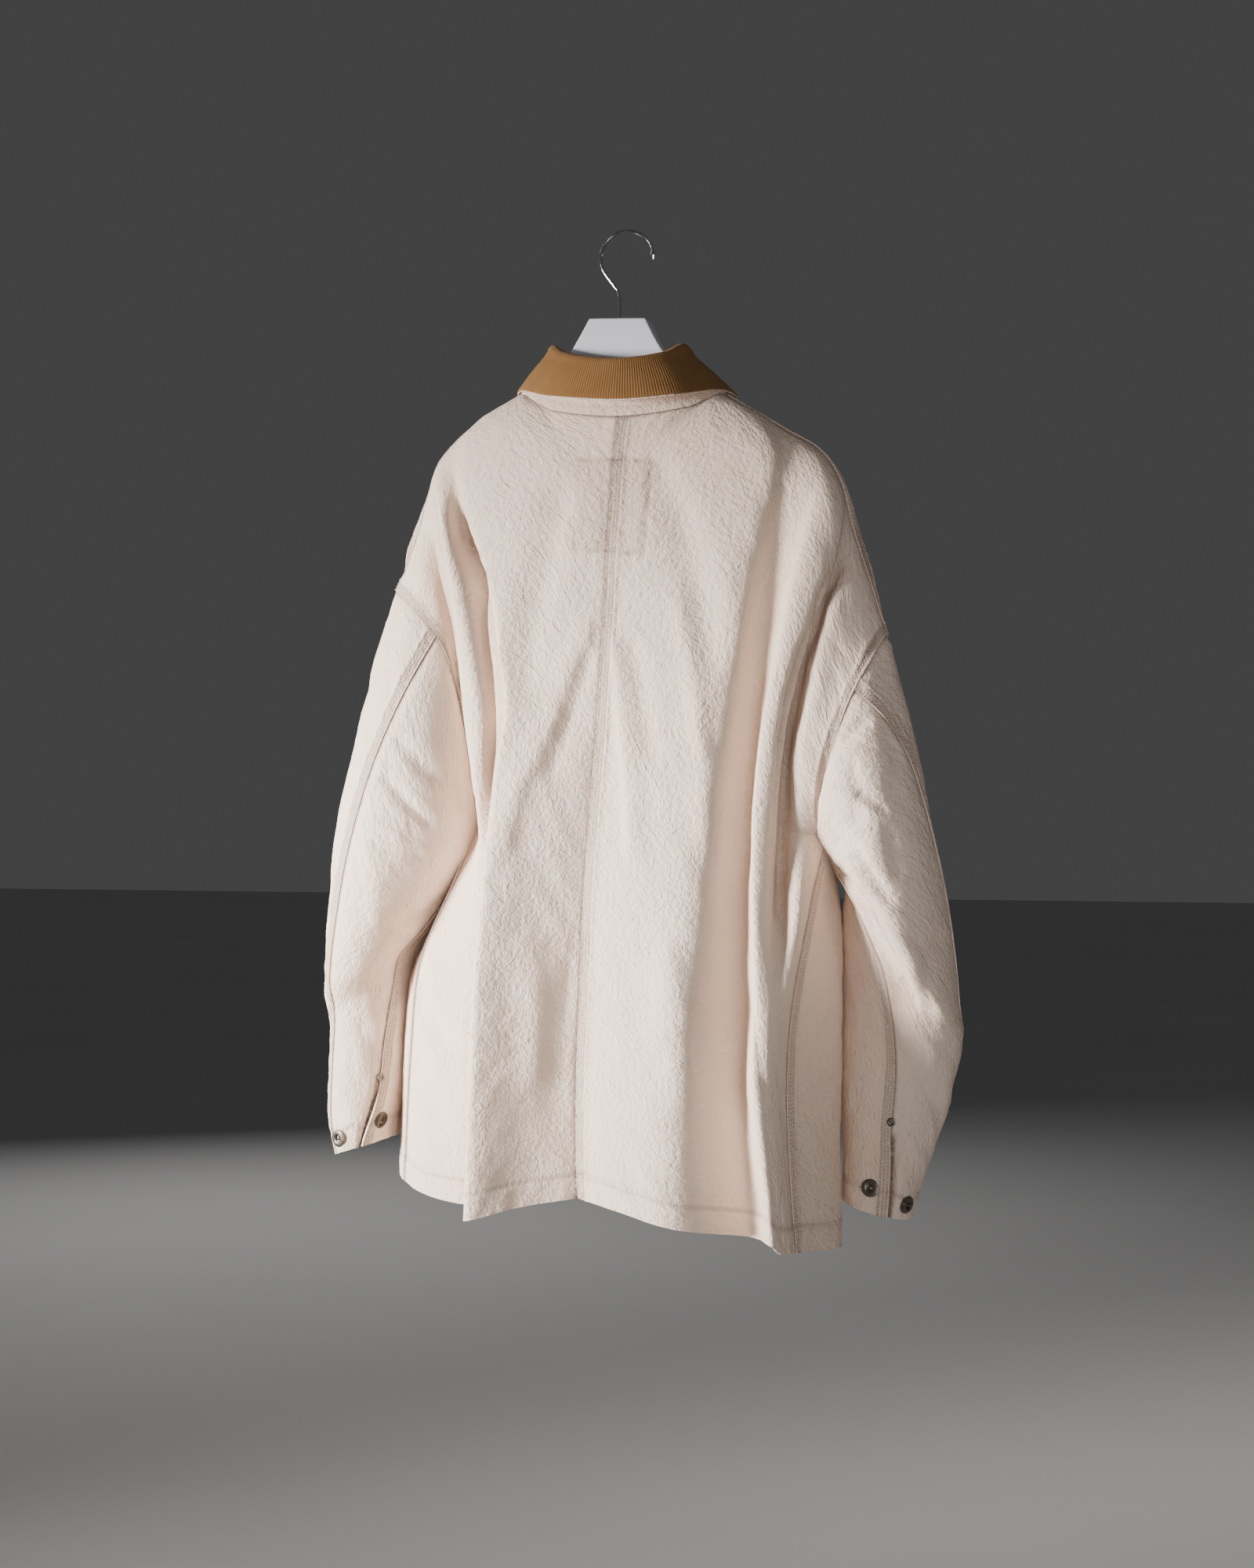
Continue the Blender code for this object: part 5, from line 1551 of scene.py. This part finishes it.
@dataclass
class Jacket:
    """The body and the sleeves of the jacket.

    Attributes:
        canvas: Material of the cloth.
        thread: Material of the stitches.
        band: Width of a felled seam.
        rise: Height of its doubled cloth.
        rows: Stitch rows of a felled seam, from its folded edge.
        hem: Depth of the hem.
        placket: Width of the front bands.
        fine: Spacing of points beside a seam.
        coarse: Spacing of points elsewhere.
        sheets: The sheets by name.
        shares: The shares of each panel's columns.
        levels: The levels of each panel's rows.
    """

    canvas: bpy.types.Material
    thread: bpy.types.Material
    band: float = 0.0125
    rise: float = 0.0011
    rows: tuple[float, ...] = (0.0022, 0.0054, 0.0086)
    hem: float = 0.024
    placket: float = 0.036
    fine: float = 0.00105
    coarse: float = 0.0034
    sheets: dict[str, ClothSheet] = field(default_factory=dict)
    shares: dict[str, np.ndarray] = field(default_factory=dict)
    levels: dict[str, np.ndarray] = field(default_factory=dict)

    def felled(self, side: Side, start: float = 0.0, end: float = 1.0) -> Seam:
        """Describe a felled seam on the piece that laps over."""
        return Seam(side, self.band, self.rise, self.rows, start=start, end=end, slope=0.005)

    def panel(self, half: Half, is_back: bool) -> None:
        """Lay out a body panel.

        Args:
            half: Side of the jacket.
            is_back: Whether it is the back panel.
        """
        name = f"{'back' if is_back else 'front'}_{half.name}"
        levels = np.array([0.6, 1.1, 1.6])
        shares = marks_by_length(
            lambda values: half.panel(values[None], levels[:, None], is_back),
            0.014, 0.014, self.fine, self.coarse)
        lines = np.array([0.15, 0.5, 0.85])
        rows = marks_by_length(
            lambda values: half.panel(lines[:, None], values[None], is_back),
            0.012, 0.028, 0.0024, self.coarse, (0.0, 2.0))
        points = half.panel(shares[None], rows[:, None], is_back)
        middle, height, swell = SIDE_SWELL[half.name]
        push = swell * np.exp(-((points[..., 2] - middle) / height) ** 2)
        points[..., 0] += half.outward * push * smooth((shares - 0.55) / 0.45)
        neck_share = NECK_SHARE_BACK if is_back else NECK_SHARE_FRONT
        top = arc_lengths(points, 1)[0]
        side = arc_lengths(points, 0)[:, -1]
        neck = float(np.interp(neck_share, shares, top) / top[-1])
        armpit = float(np.interp(1.0, rows, side) / side[-1])
        hem = Seam(Side.BOTTOM, self.hem, 0.0005, (self.hem - 0.003,), 0.0013)
        neck_edge = Seam(Side.TOP, pucker=0.0011, end=neck)
        if is_back:
            seams = (neck_edge, Seam(Side.TOP, start=neck), hem, self.felled(Side.LAST, 0, armpit),
                     Seam(Side.LAST, start=armpit))
            centre = self.felled(Side.FIRST) if half is RIGHT else Seam(Side.FIRST)
        else:
            seams = (neck_edge, self.felled(Side.TOP, neck), hem,
                     self.felled(Side.LAST, 0, armpit), self.felled(Side.LAST, armpit))
            centre = Seam(Side.FIRST, self.placket, 0.0006, (0.003, self.placket - 0.003), 0.0008)
        facing = half.outward if is_back else -half.outward
        creases = tuple(crease for crease in CREASES if crease.facing == (1 if is_back else -1))
        self.sheets[name] = ClothSheet(f"cloth_{name}", points, facing, seams + (centre,),
                                       10.0 + len(self.sheets) * 7.3, creases=creases)
        self.shares[name] = shares
        self.levels[name] = rows

    def sleeve(self, half: Half, is_under: bool) -> None:
        """Lay out one piece of a sleeve.

        Args:
            half: Side of the jacket.
            is_under: Whether it is the under piece.
        """
        name = f"{'under' if is_under else 'top'}_sleeve_{half.name}"
        start_at, end_at = half.seams(np.array([0.3]))[0]
        if not is_under:
            start_at, end_at = end_at, start_at + 360
        shares = marks_by_length(
            lambda values: half.sleeve(np.array([[0.3], [0.6]]),
                                       (start_at + (end_at - start_at) * values)[None]),
            0.013, 0.013, self.fine, self.coarse)
        places = marks_by_length(
            lambda values: half.sleeve(values[None], np.array([[0.0], [90.0], [180.0]])),
            0.010, 0.026, 0.0026, self.coarse)
        seams = half.seams(places)
        opening = smooth((places - VENT_START) / 0.05)
        first = seams[:, 0] if is_under else seams[:, 1]
        last = seams[:, 1] + VENT_LAP * opening if is_under else seams[:, 0] + 360
        angles = first[:, None] + (last - first)[:, None] * shares[None]
        points = half.sleeve(places[:, None], angles)
        middle = points.mean(axis=1, keepdims=True)
        away = unit(points - middle) * opening[:, None, None]
        if is_under:
            points -= away * (VENT_PUSH * smooth((shares - 0.78) / 0.16))[None, :, None]
        else:
            wave = np.sin(np.pi * np.clip((places - VENT_START) / (1 - VENT_START), 0, 1))
            curl = VENT_CURL[0] + VENT_CURL[1] * wave[:, None, None]
            points += away * curl * (1 - smooth(shares / 0.10))[None, :, None]
        cuff = Seam(Side.BOTTOM, self.hem, 0.0006, (self.hem - 0.003,), 0.0009)
        if is_under:
            # Painted shade in the gap under the vent's lap
            slit = Seam(Side.LAST, pucker=0.0, start=SLIT_START, gap=SLIT_GAP)
            sewn = (Seam(Side.FIRST), Seam(Side.LAST), slit)
        else:
            sewn = (self.felled(Side.FIRST), self.felled(Side.LAST))
        facing = -1 if half is LEFT else 1
        self.sheets[name] = ClothSheet(f"cloth_{name}", points, facing,
                                       (Seam(Side.TOP), cuff) + sewn,
                                       60.0 + len(self.sheets) * 5.1,
                                       creases=SLEEVE_CREASES[half.name],
                                       crumple=Crumple(0.0018, 0.0014, 0.0006, 46.0))

    def lay_out(self) -> None:
        """Lay out every piece of the body and the sleeves."""
        for half in (LEFT, RIGHT):
            self.panel(half, True)
            self.panel(half, False)
            self.sleeve(half, True)
            self.sleeve(half, False)

    def build(self) -> None:
        """Make the pieces and their stitches."""
        for node, sheet in self.sheets.items():
            self.sew(node, sheet)

    def sew(self, node: str, sheet: ClothSheet) -> None:
        """Make one sheet and its stitches.

        Args:
            node: The node that the sheet replaces.
            sheet: Its layout.
        """
        item = sheet.build(self.canvas)
        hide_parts(node)
        stitches = StitchRun(f"stitches_{node}")
        for seam in sheet.seams:
            for row in seam.rows:
                stitches.add(sheet.path(seam.side, row, seam.start, seam.end))
        joined = [stitches.build(self.thread)] if stitches.lines else []
        for piece in [item] + joined:
            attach(piece, BODY)
        declare_sheet(sheet)
        report(item)

    def pocket(self, half: Half) -> None:
        """Make the patch pocket of one front from the points that it lies on.

        Args:
            half: Side of the jacket.
        """
        front = self.sheets[f"front_{half.name}"]
        shares = self.shares[f"front_{half.name}"]
        levels = self.levels[f"front_{half.name}"]
        columns = np.flatnonzero((shares > POCKET_SHARES[0]) & (shares < POCKET_SHARES[1]))
        rows = np.flatnonzero((levels > POCKET_ROWS[0]) & (levels < POCKET_ROWS[1]))
        part = np.ix_(rows, columns)
        across = np.linspace(0, 1, len(columns))
        down = np.linspace(0, 1, len(rows))[:, None]
        belly = POCKET_BELLY * np.sin(np.pi * across) ** 0.8 * smooth(down * 1.3)
        belly = belly * np.sin(np.pi * (0.15 + 0.85 * down)) ** 0.6
        points = front.outer[part] + front.normals[part] * (belly + 0.0010)[..., None]
        edge = (0.0025, 0.0085)
        sheet = ClothSheet(f"cloth_pocket_{half.name}", points, front.facing,
                           (Seam(Side.TOP, 0.028, 0.0006, (0.0255,), 0.0008),
                            Seam(Side.BOTTOM, 0.011, 0.0004, edge),
                            Seam(Side.FIRST, 0.011, 0.0004, edge),
                            Seam(Side.LAST, 0.011, 0.0004, edge)),
                           130.0 + half.outward, edge_hold=0.006,
                           crumple=Crumple(0.0004, 0.0005, 0.0003, 40.0))
        self.sew(f"pocket_{half.name}", sheet)

    def shell_tree(self) -> BVHTree:
        """Give a search tree of every outer face, for seating small pieces.

        Returns:
            The tree.
        """
        vertices, faces = [], []
        for sheet in self.sheets.values():
            quads = grid_quads(*sheet.outer.shape[:2])
            quads = quads if sheet.facing < 0 else quads[:, ::-1]
            faces += (quads + len(vertices)).tolist()
            vertices += sheet.outer.reshape(-1, 3).tolist()
        return BVHTree.FromPolygons(vertices, faces)

    def reinforcement(self, tree: BVHTree) -> None:
        """Stitch the outline of the patch that is sewn inside the upper back.

        Args:
            tree: Search tree of the cloth.
        """
        corners = [np.array(corner, float) * MM for corner in PATCH_CORNERS]
        stitches = StitchRun("stitches_inside_patch", radius=0.0003)
        for here, there in zip(corners, corners[1:] + corners[:1]):
            points, normals = [], []
            for share in np.linspace(0, 1, 50):
                x, z = here + (there - here) * share
                hit, normal, _, _ = tree.ray_cast(Vector((x, 0.5, z)), Vector((0, -1, 0)))
                points.append(np.array(hit))
                normals.append(np.array(normal))
            stitches.add((np.array(points), np.array(normals)))
        item = stitches.build(self.thread)
        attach(item, BODY)
        report(item)


def declare_sheet(sheet: ClothSheet) -> None:
    """Args:
        sheet: Its layout.
    """
    wide = float(arc_lengths(sheet.points, 1)[:, -1].max())
    long = float(arc_lengths(sheet.points, 0)[-1].max())
    steps = np.cross(np.diff(sheet.points[:-1], axis=1), np.diff(sheet.points[:, :-1], axis=0))
    area = float(np.linalg.norm(steps, axis=-1).sum())
    area = min(max(area, 0.31 * wide * long), wide * long)


def report(item: bpy.types.Object) -> None:
    """Log one finished piece.

    Args:
        item: The object.
    """
    low, high = np.array(item.bound_box).min(axis=0), np.array(item.bound_box).max(axis=0)
    size = " x ".join(f"{value * 1000:.0f}" for value in high - low)
    LOG.info("%s: %d faces, %s mm", item.name, len(item.data.polygons), size)


def box_middle(node: str) -> Vector:
    """Give the middle of a node's box."""
    low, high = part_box(node)
    return (Vector(low) + Vector(high)) / 2


def press_in(turns: np.ndarray) -> np.ndarray:
    """Give how far the collar's edge is pressed in towards the neck, most at the back."""
    return 0.005 * smooth(1.6 - np.abs(turns) / 70)


@dataclass
class Collar:
    """The collar: a canvas stand, a corduroy fall and its canvas under side.

    Attributes:
        canvas: Material of the stand and the under side.
        corduroy: Material of the fall.
        thread: Material of the stitches.
        rib: Width of one rib of the corduroy.
        rib_height: Height of a rib.
        ribs_cut: Points across one rib.
    """

    canvas: bpy.types.Material
    corduroy: bpy.types.Material
    thread: bpy.types.Material
    rib: float = 0.00235
    rib_height: float = 0.00034
    ribs_cut: int = 6

    @staticmethod
    def fall_points(turns: np.ndarray, shares: np.ndarray) -> np.ndarray:
        """Give the fall from its fold to its edge.

        Args:
            turns: Turns round the neck in degrees.
            shares: Shares of the fall's length, from 0 at the fold to 1 at the edge.

        Returns:
            Grid of points, a row for each share.
        """
        station = table_at(COLLAR, turns) * MM
        fold, edge = station[:, 3:6], station[:, 6:9]
        out = edge - fold
        out[:, 2] = 0
        out = unit(out)
        edge = edge - out * press_in(turns)[:, None]
        rise = np.array([0.0, 0.0, MM])
        keys = [fold + out * reach * MM + rise * height for reach, height in COLLAR_ROLL]
        keys += [fold * 0.45 + edge * 0.55 + out * 0.004, edge]
        lines = np.array(keys)
        reach = arc_lengths(lines, 0).mean(axis=1)
        weights = curve_weights(reach, shares * reach[-1])
        return np.einsum("sk,ktd->std", weights, lines)

    def facing(self, points: np.ndarray) -> int:
        """Tell whether a grid's normals already point away from the neck.

        Args:
            points: The grid.

        Returns:
            1 if they do, else -1.
        """
        normals = grid_normals(points)
        away = points * np.array([1.0, 1.0, 0.0]) + np.array([0.0, 0.0, 0.02])
        return 1 if (normals * away).sum() > 0 else -1

    def stand(self) -> ClothSheet:
        """Lay out the stand.

        Returns:
            Its layout.
        """
        turns = np.linspace(-180, 180, 181)
        station = table_at(COLLAR, turns) * MM
        shares = np.linspace(0.99, 0.0, 14)[:, None, None]
        points = station[None, :, 0:3] + (station[:, 3:6] - station[:, 0:3])[None] * shares
        seams = (Seam(Side.BOTTOM, 0.008, 0.0004, (0.0022,), 0.0007),)
        return ClothSheet("cloth_collar_stand", points, self.facing(points), seams, 201.0,
                          crumple=Crumple(0.0002, 0.0004, 0.0003, 40.0))

    def fall(self) -> bpy.types.Object:
        """Make the corduroy fall with its ribs.

        Returns:
            The finished object.
        """
        turns = np.linspace(-180, 180, 721)
        shares = np.linspace(0, 1, 21)
        reach = arc_lengths(self.fall_points(turns, np.array([0.6, 0.61])), 1)[0]
        count = round(reach[-1] / self.rib)
        marks = np.linspace(0, reach[-1], count * self.ribs_cut + 1)
        points = self.fall_points(np.interp(marks, reach, turns), shares)
        facing = self.facing(points)
        normals = unit(grid_normals(points)) * facing
        number = marks / reach[-1] * count
        crest = np.abs(np.cos(np.pi * number)) ** 0.7
        flat_end = smooth((1 - shares) / 0.03)[:, None] * 0.8 + 0.2
        lift = self.rib_height * crest[None] * flat_end
        wave = 0.0006 * noise_field(points, 28.0, 77.0)
        outer = points + normals * (lift + wave + 0.0006)[..., None]
        inner = points + normals * (wave - 0.0003)[..., None]
        places = np.stack([np.broadcast_to(number, lift.shape), arc_lengths(points, 0)], axis=-1)
        item = make_shell("cloth_collar_fall", outer, inner, places.reshape(-1, 2),
                          self.corduroy, *points.shape[:2])
        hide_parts("collar_fall")
        return item

    def under(self) -> ClothSheet:
        """Lay out the canvas under side, which shows as a pale line along the fall's edge.

        Returns:
            Its layout.
        """
        turns = np.linspace(-180, 180, 241)
        points = self.fall_points(turns, np.linspace(0, 1, 22))
        facing = self.facing(points)
        normals = unit(grid_normals(points)) * facing
        points = points - normals * 0.0010
        points[-1] += unit(points[-1] - points[-2]) * 0.0010
        return ClothSheet("cloth_collar_under", points, facing, (), 215.0,
                          crumple=Crumple(0.0, 0.0, 0.0002, 40.0), thickness=0.0009)

    def build(self, stand: ClothSheet) -> None:
        """Make the collar's pieces.

        Args:
            stand: The stand, laid out beforehand so that its seam meets the body's.
        """
        stand_item = stand.build(self.canvas)
        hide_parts("collar_stand")
        stitches = StitchRun("stitches_collar_stand")
        stitches.add(stand.path(Side.BOTTOM, 0.0022))
        thread = stitches.build(self.thread)
        fall = self.fall()
        under = self.under()
        under_item = under.build(self.canvas)
        for item, slot in ((stand_item, "canvas"), (thread, "canvas"), (fall, "corduroy"),
                           (under_item, "canvas")):
            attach(item, BODY)
            report(item)
        declare_sheet(stand)
        declare_sheet(under)
        ribbed = ClothSheet("fall", self.fall_points(np.linspace(-180, 180, 121),
                                                     np.linspace(0, 1, 12)), 1, (), 0.0)
        declare_sheet(ribbed)


@dataclass
class Fasteners:
    """Tack buttons with a hollow middle, and the small rivets above the vents.

    Attributes:
        nickel: Material of the metal.
        thread: Material of the buttonholes.
        shadow: Material of the painted shadow in their openings.
        radius: Radius of a button.
        height: Height of its rim.
        rivet_radius: Radius of a rivet.
    """

    nickel: bpy.types.Material
    thread: bpy.types.Material
    shadow: bpy.types.Material
    radius: float = 0.0085
    height: float = 0.0034
    rivet_radius: float = 0.0042

    def ring(self, name: str, radius: float, height: float, hollow: float,
             post: float) -> bpy.types.Object:
        """Model one turned button from a cylinder, with a dished middle and a post.

        Args:
            name: Name of the object.
            radius: Radius of its rim.
            height: Height of its rim.
            hollow: Radius of the hollow.
            post: Radius of the post.

        Returns:
            The button, standing on Z = 0.
        """
        bpy.ops.object.select_all(action="DESELECT")
        foot = height * 0.4
        bpy.ops.mesh.primitive_cylinder_add(vertices=36, radius=radius, depth=foot,
                                            location=(0, 0, foot / 2))
        item = bpy.context.object
        item.name = name
        item.data.name = name
        bpy.ops.object.mode_set(mode="EDIT")
        bpy.ops.mesh.select_mode(type="FACE")
        bpy.ops.mesh.select_all(action="DESELECT")
        bpy.ops.object.mode_set(mode="OBJECT")
        for face in item.data.polygons:
            face.select = face.normal.z > 0.9
        bpy.ops.object.mode_set(mode="EDIT")
        for inset, rise in ((radius * 0.04, height * 0.35), (radius * 0.10, height * 0.25),
                            (radius * 0.24, 0.0), (radius * 0.08, -height * 0.15),
                            (radius * 0.54 - hollow, -height * 0.30),
                            (hollow * 0.10, -height * 0.25), (hollow * 0.85 - post, 0.0),
                            (post * 0.06, height * 0.35), (post * 0.3, height * 0.08)):
            bpy.ops.mesh.inset(thickness=max(inset, radius * 0.01), depth=0)
            bpy.ops.mesh.extrude_region_move(TRANSFORM_OT_translate={"value": (0, 0, rise)})
        bpy.ops.mesh.select_all(action="SELECT")
        bpy.ops.mesh.remove_doubles(threshold=0.000002)
        bpy.ops.mesh.normals_make_consistent(inside=False)
        bpy.ops.object.mode_set(mode="OBJECT")
        soften = item.modifiers.new("soft_edges", "BEVEL")
        soften.width = radius * 0.03
        soften.segments = 2
        bpy.ops.object.modifier_apply(modifier=soften.name)
        bpy.ops.object.shade_smooth_by_angle(angle=math.radians(50))
        item.data.materials.append(self.nickel)
        item.select_set(False)
        return item

    def seat(self, model: bpy.types.Object, node: str, tree: BVHTree) -> bpy.types.Object:
        """Copy a button on to the cloth where a node stands.

        Args:
            model: The button, standing on Z = 0.
            node: The node that it replaces.
            tree: Search tree of the cloth.

        Returns:
            The seated copy.
        """
        place, normal, _, _ = tree.find_nearest(box_middle(node))
        turn = normal.to_track_quat("Z", "Y").to_matrix().to_4x4()
        copy = bpy.data.objects.new(f"{node}_turned", model.data.copy())
        copy.data.transform(Matrix.Translation(place - normal * 0.0002) @ turn)
        bpy.context.collection.objects.link(copy)
        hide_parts(node)
        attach(copy, BODY)
        return copy

    def buttonhole(self, node: str, tree: BVHTree, run: StitchRun, slit: StitchRun,
                   way: int) -> None:
        """Stitch the buttonhole that runs out from under a button.

        Args:
            node: The button's node.
            tree: Search tree of the cloth.
            run: Stitches to add to.
            slit: Dark strips of painted shadow in the openings, to add to.
            way: Which way along the cloth it runs.
        """
        place, normal, _, _ = tree.find_nearest(box_middle(node))
        out = normal.cross(Vector((0, 0, 1))).normalized() * way
        up = out.cross(normal)
        ends = [tree.find_nearest(place + out * step) for step in (0.006, 0.016)]
        # A dark strip along the slit paints the shadow inside the opening
        slit.add((np.array([end[0] + end[1] * 0.0003 for end in ends]),
                  np.array([end[1] for end in ends])))
        for step in np.arange(0.006, 0.0172, 0.0006):
            for side in (-1, 1):
                ends = [tree.find_nearest(place + out * step + up * side * reach)
                        for reach in (0.0004, 0.0020)]
                run.add((np.array([end[0] for end in ends]), np.array([end[1] for end in ends])))

    def build(self, tree: BVHTree) -> None:
        """Make every button, rivet and buttonhole.

        Args:
            tree: Search tree of the cloth.
        """
        holes = StitchRun("stitches_buttonholes", 0.0016, 0.0014, 0.00042)
        # Dark strips that paint the shadow inside the slits
        slits = StitchRun("slits_buttonholes", 0.0080, 0.0076, 0.0006)
        for number in range(1, 6):
            self.buttonhole(f"front_button_{number}", tree, holes, slits, -1)
        self.buttonhole("cuff_button_right_1", tree, holes, slits, 1)
        for run, finish in ((holes, self.thread), (slits, self.shadow)):
            item = run.build(finish)
            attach(item, BODY)
            report(item)
        button = self.ring("button_model", self.radius, self.height, self.radius * 0.42,
                           self.radius * 0.20)
        rivet = self.ring("rivet_model", self.rivet_radius, 0.0017, self.rivet_radius * 0.5,
                          self.rivet_radius * 0.3)
        names = [f"front_button_{number}" for number in range(1, 6)]
        names += [f"cuff_button_{side}_{number}" for side in ("left", "right") for number in (1, 2)]
        for name in names:
            report(self.seat(button, name, tree))
        for side in ("left", "right"):
            report(self.seat(rivet, f"vent_rivet_{side}", tree))
        for model in (button, rivet):
            bpy.data.objects.remove(model, do_unlink=True)


@dataclass
class Hanger:
    """The moulded hanger body and its wire hook.

    Attributes:
        plastic: Material of the body.
        chrome: Material of the hook.
        corner: Radius of the body's long edges.
    """

    plastic: bpy.types.Material
    chrome: bpy.types.Material
    corner: float = 0.004

    def body(self) -> bpy.types.Object:
        """Model the body from a box that is extruded from station to station.

        Returns:
            The finished object.
        """
        stations = np.array(HANGER_STATIONS, float) * MM
        x, top, deep, thick, middle = stations[0]
        bpy.ops.object.select_all(action="DESELECT")
        bpy.ops.mesh.primitive_cube_add(size=1, location=(x + 0.001, middle, top - deep / 2),
                                        scale=(0.002, thick * 2, deep))
        item = bpy.context.object
        item.name = "hanger_body_moulded"
        item.data.name = item.name
        bpy.ops.object.transform_apply(location=True, rotation=True, scale=True)
        bpy.ops.object.mode_set(mode="EDIT")
        bpy.ops.mesh.select_mode(type="FACE")
        bpy.ops.mesh.select_all(action="DESELECT")
        bpy.ops.object.mode_set(mode="OBJECT")
        for face in item.data.polygons:
            face.select = face.normal.x > 0.9
        bpy.ops.object.mode_set(mode="EDIT")
        here = np.array([x + 0.002, middle, top - deep / 2])
        size = np.array([deep, thick])
        for x, top, deep, thick, middle in stations[1:]:
            there = np.array([x, middle, top - deep / 2])
            bpy.ops.mesh.extrude_region_move(
                TRANSFORM_OT_translate={"value": tuple(there - here)})
            bpy.ops.transform.resize(value=(1, thick / size[1], deep / size[0]),
                                     center_override=tuple(there))
            here, size = there, np.array([deep, thick])
        bpy.ops.mesh.select_all(action="SELECT")
        bpy.ops.mesh.normals_make_consistent(inside=False)
        bpy.ops.object.mode_set(mode="OBJECT")
        edges = item.modifiers.new("moulded_edges", "BEVEL")
        edges.width = self.corner
        edges.segments = 3
        edges.limit_method = "ANGLE"
        edges.angle_limit = math.radians(50)
        round_off = item.modifiers.new("round_off", "SUBSURF")
        round_off.levels = 2
        round_off.render_levels = 2
        for modifier in (edges.name, round_off.name):
            bpy.ops.object.modifier_apply(modifier=modifier)
        bpy.ops.object.shade_smooth()
        item.data.materials.append(self.plastic)
        item.select_set(False)
        return item

    def build(self, frame: dict) -> None:
        """Make the hanger.
        """
        item = self.body()
        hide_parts("hanger_body")
        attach(item, BODY)
        report(item)
        hook = frame["nodes"]["hanger_hook"]
        for index in range(len(hook.material_slots)):
            hook.material_slots[index].material = self.chrome


@dataclass
class Studio:
    """The floor, the lights and the camera.

    Attributes:
        distance: Distance of the camera from the jacket's middle.
        turn: Turn of the camera round the jacket, from straight behind it, in degrees.
        height: Height of the camera and of the picture's middle.
        lens: Focal length in mm on a 36 mm picture height.
        floor_height: Height of the floor.
    """

    distance: float = 2.4
    turn: float = 15.0
    height: float = -0.517
    lens: float = 58.77
    floor_height: float = -1.30

    def build(self) -> None:
        """Make the floor, the lights and the camera."""
        self.floor()
        self.light("key_window", (2.05, 1.4, -0.48), (0.18, 0.0, -0.68), 0.85, 13.0,
                   (1, 0.965, 0.94), 33)
        self.light("low_fill", (-0.9, 2.1, -1.1), (-0.14, 0.0, -0.84), 1.4, 4.0,
                   (1, 0.98, 0.97), 60)
        self.light("front_fill", (1.5, -2.4, 0.5), (0.0, 0.0, -0.55), 2.0, 26.0, (1, 0.98, 0.96))
        world = bpy.data.worlds.new("studio_air")
        world.use_nodes = True
        air = world.node_tree.nodes["Background"]
        air.inputs["Color"].default_value = (0.36, 0.36, 0.37, 1)
        air.inputs["Strength"].default_value = 0.17
        bpy.context.scene.world = world
        self.camera()

    def floor(self) -> None:
        """Make the plain floor."""
        bpy.ops.object.select_all(action="DESELECT")
        bpy.ops.mesh.primitive_plane_add(size=30, location=(0, 0, self.floor_height))
        floor = bpy.context.object
        floor.name = "studio_floor"
        bpy.ops.object.transform_apply(location=True, rotation=True, scale=True)
        floor.data.materials.append(FloorFinish().build())
        floor.select_set(False)

    @staticmethod
    def light(name: str, place: tuple, target: tuple, size: float, power: float,
              tone: tuple, spread: float = 180.0) -> None:
        """Hang one soft light.

        Args:
            name: Its name.
            place: Where it hangs.
            target: What it points at.
            size: Its width.
            power: Its power in watts.
            tone: Its colour.
            spread: How wide it shines, in degrees.
        """
        data = bpy.data.lights.new(name, "AREA")
        data.spread = math.radians(spread)
        data.shape = "DISK"
        data.size = size
        data.energy = power
        data.color = tone
        item = bpy.data.objects.new(name, data)
        item.location = place
        item.rotation_euler = (Vector(target) - Vector(place)).to_track_quat("-Z", "Y").to_euler()
        bpy.context.collection.objects.link(item)

    def camera(self) -> None:
        """Set up the camera behind the jacket."""
        data = bpy.data.cameras.new("camera")
        data.sensor_width = 36
        data.lens = self.lens
        item = bpy.data.objects.new("camera", data)
        turn = math.radians(self.turn)
        item.location = (-self.distance * math.sin(turn), self.distance * math.cos(turn),
                         self.height)
        item.rotation_euler = (math.radians(90), 0, math.radians(180) + turn)
        bpy.context.collection.objects.link(item)
        bpy.context.scene.camera = item


def main() -> None:
    """Dress the jacket and its hanger, piece by piece."""
    logging.basicConfig(level=logging.INFO, format="%(message)s")
    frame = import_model()
    Studio().build()
    canvas = CanvasFinish().build()
    thread = ThreadFinish().build()
    corduroy = CorduroyFinish().build()
    nickel = MetalFinish("antique_nickel", (0.27, 0.245, 0.21, 1), (0.13, 0.115, 0.10, 1),
                         (0.28, 0.42)).build()
    chrome = MetalFinish("bright_chrome", (0.75, 0.76, 0.78, 1), (0.70, 0.71, 0.73, 1),
                         (0.08, 0.11)).build()
    jacket = Jacket(canvas, thread)
    jacket.lay_out()
    collar = Collar(canvas, corduroy, thread)
    stand = collar.stand()
    ease_seam_normals(list(jacket.sheets.values()) + [stand])
    jacket.build()
    tree = jacket.shell_tree()
    for half in (LEFT, RIGHT):
        jacket.pocket(half)
    jacket.reinforcement(tree)
    collar.build(stand)
    # A dark material that paints the shadow inside the buttonhole slits
    shadow = ThreadFinish("dark_gap", (0.12, 0.085, 0.065, 1), (0.05, 0.035, 0.028, 1)).build()
    Fasteners(nickel, thread, shadow).build(tree)
    Hanger(PlasticFinish().build(), chrome).build(frame)


if __name__ == "__main__":
    main()
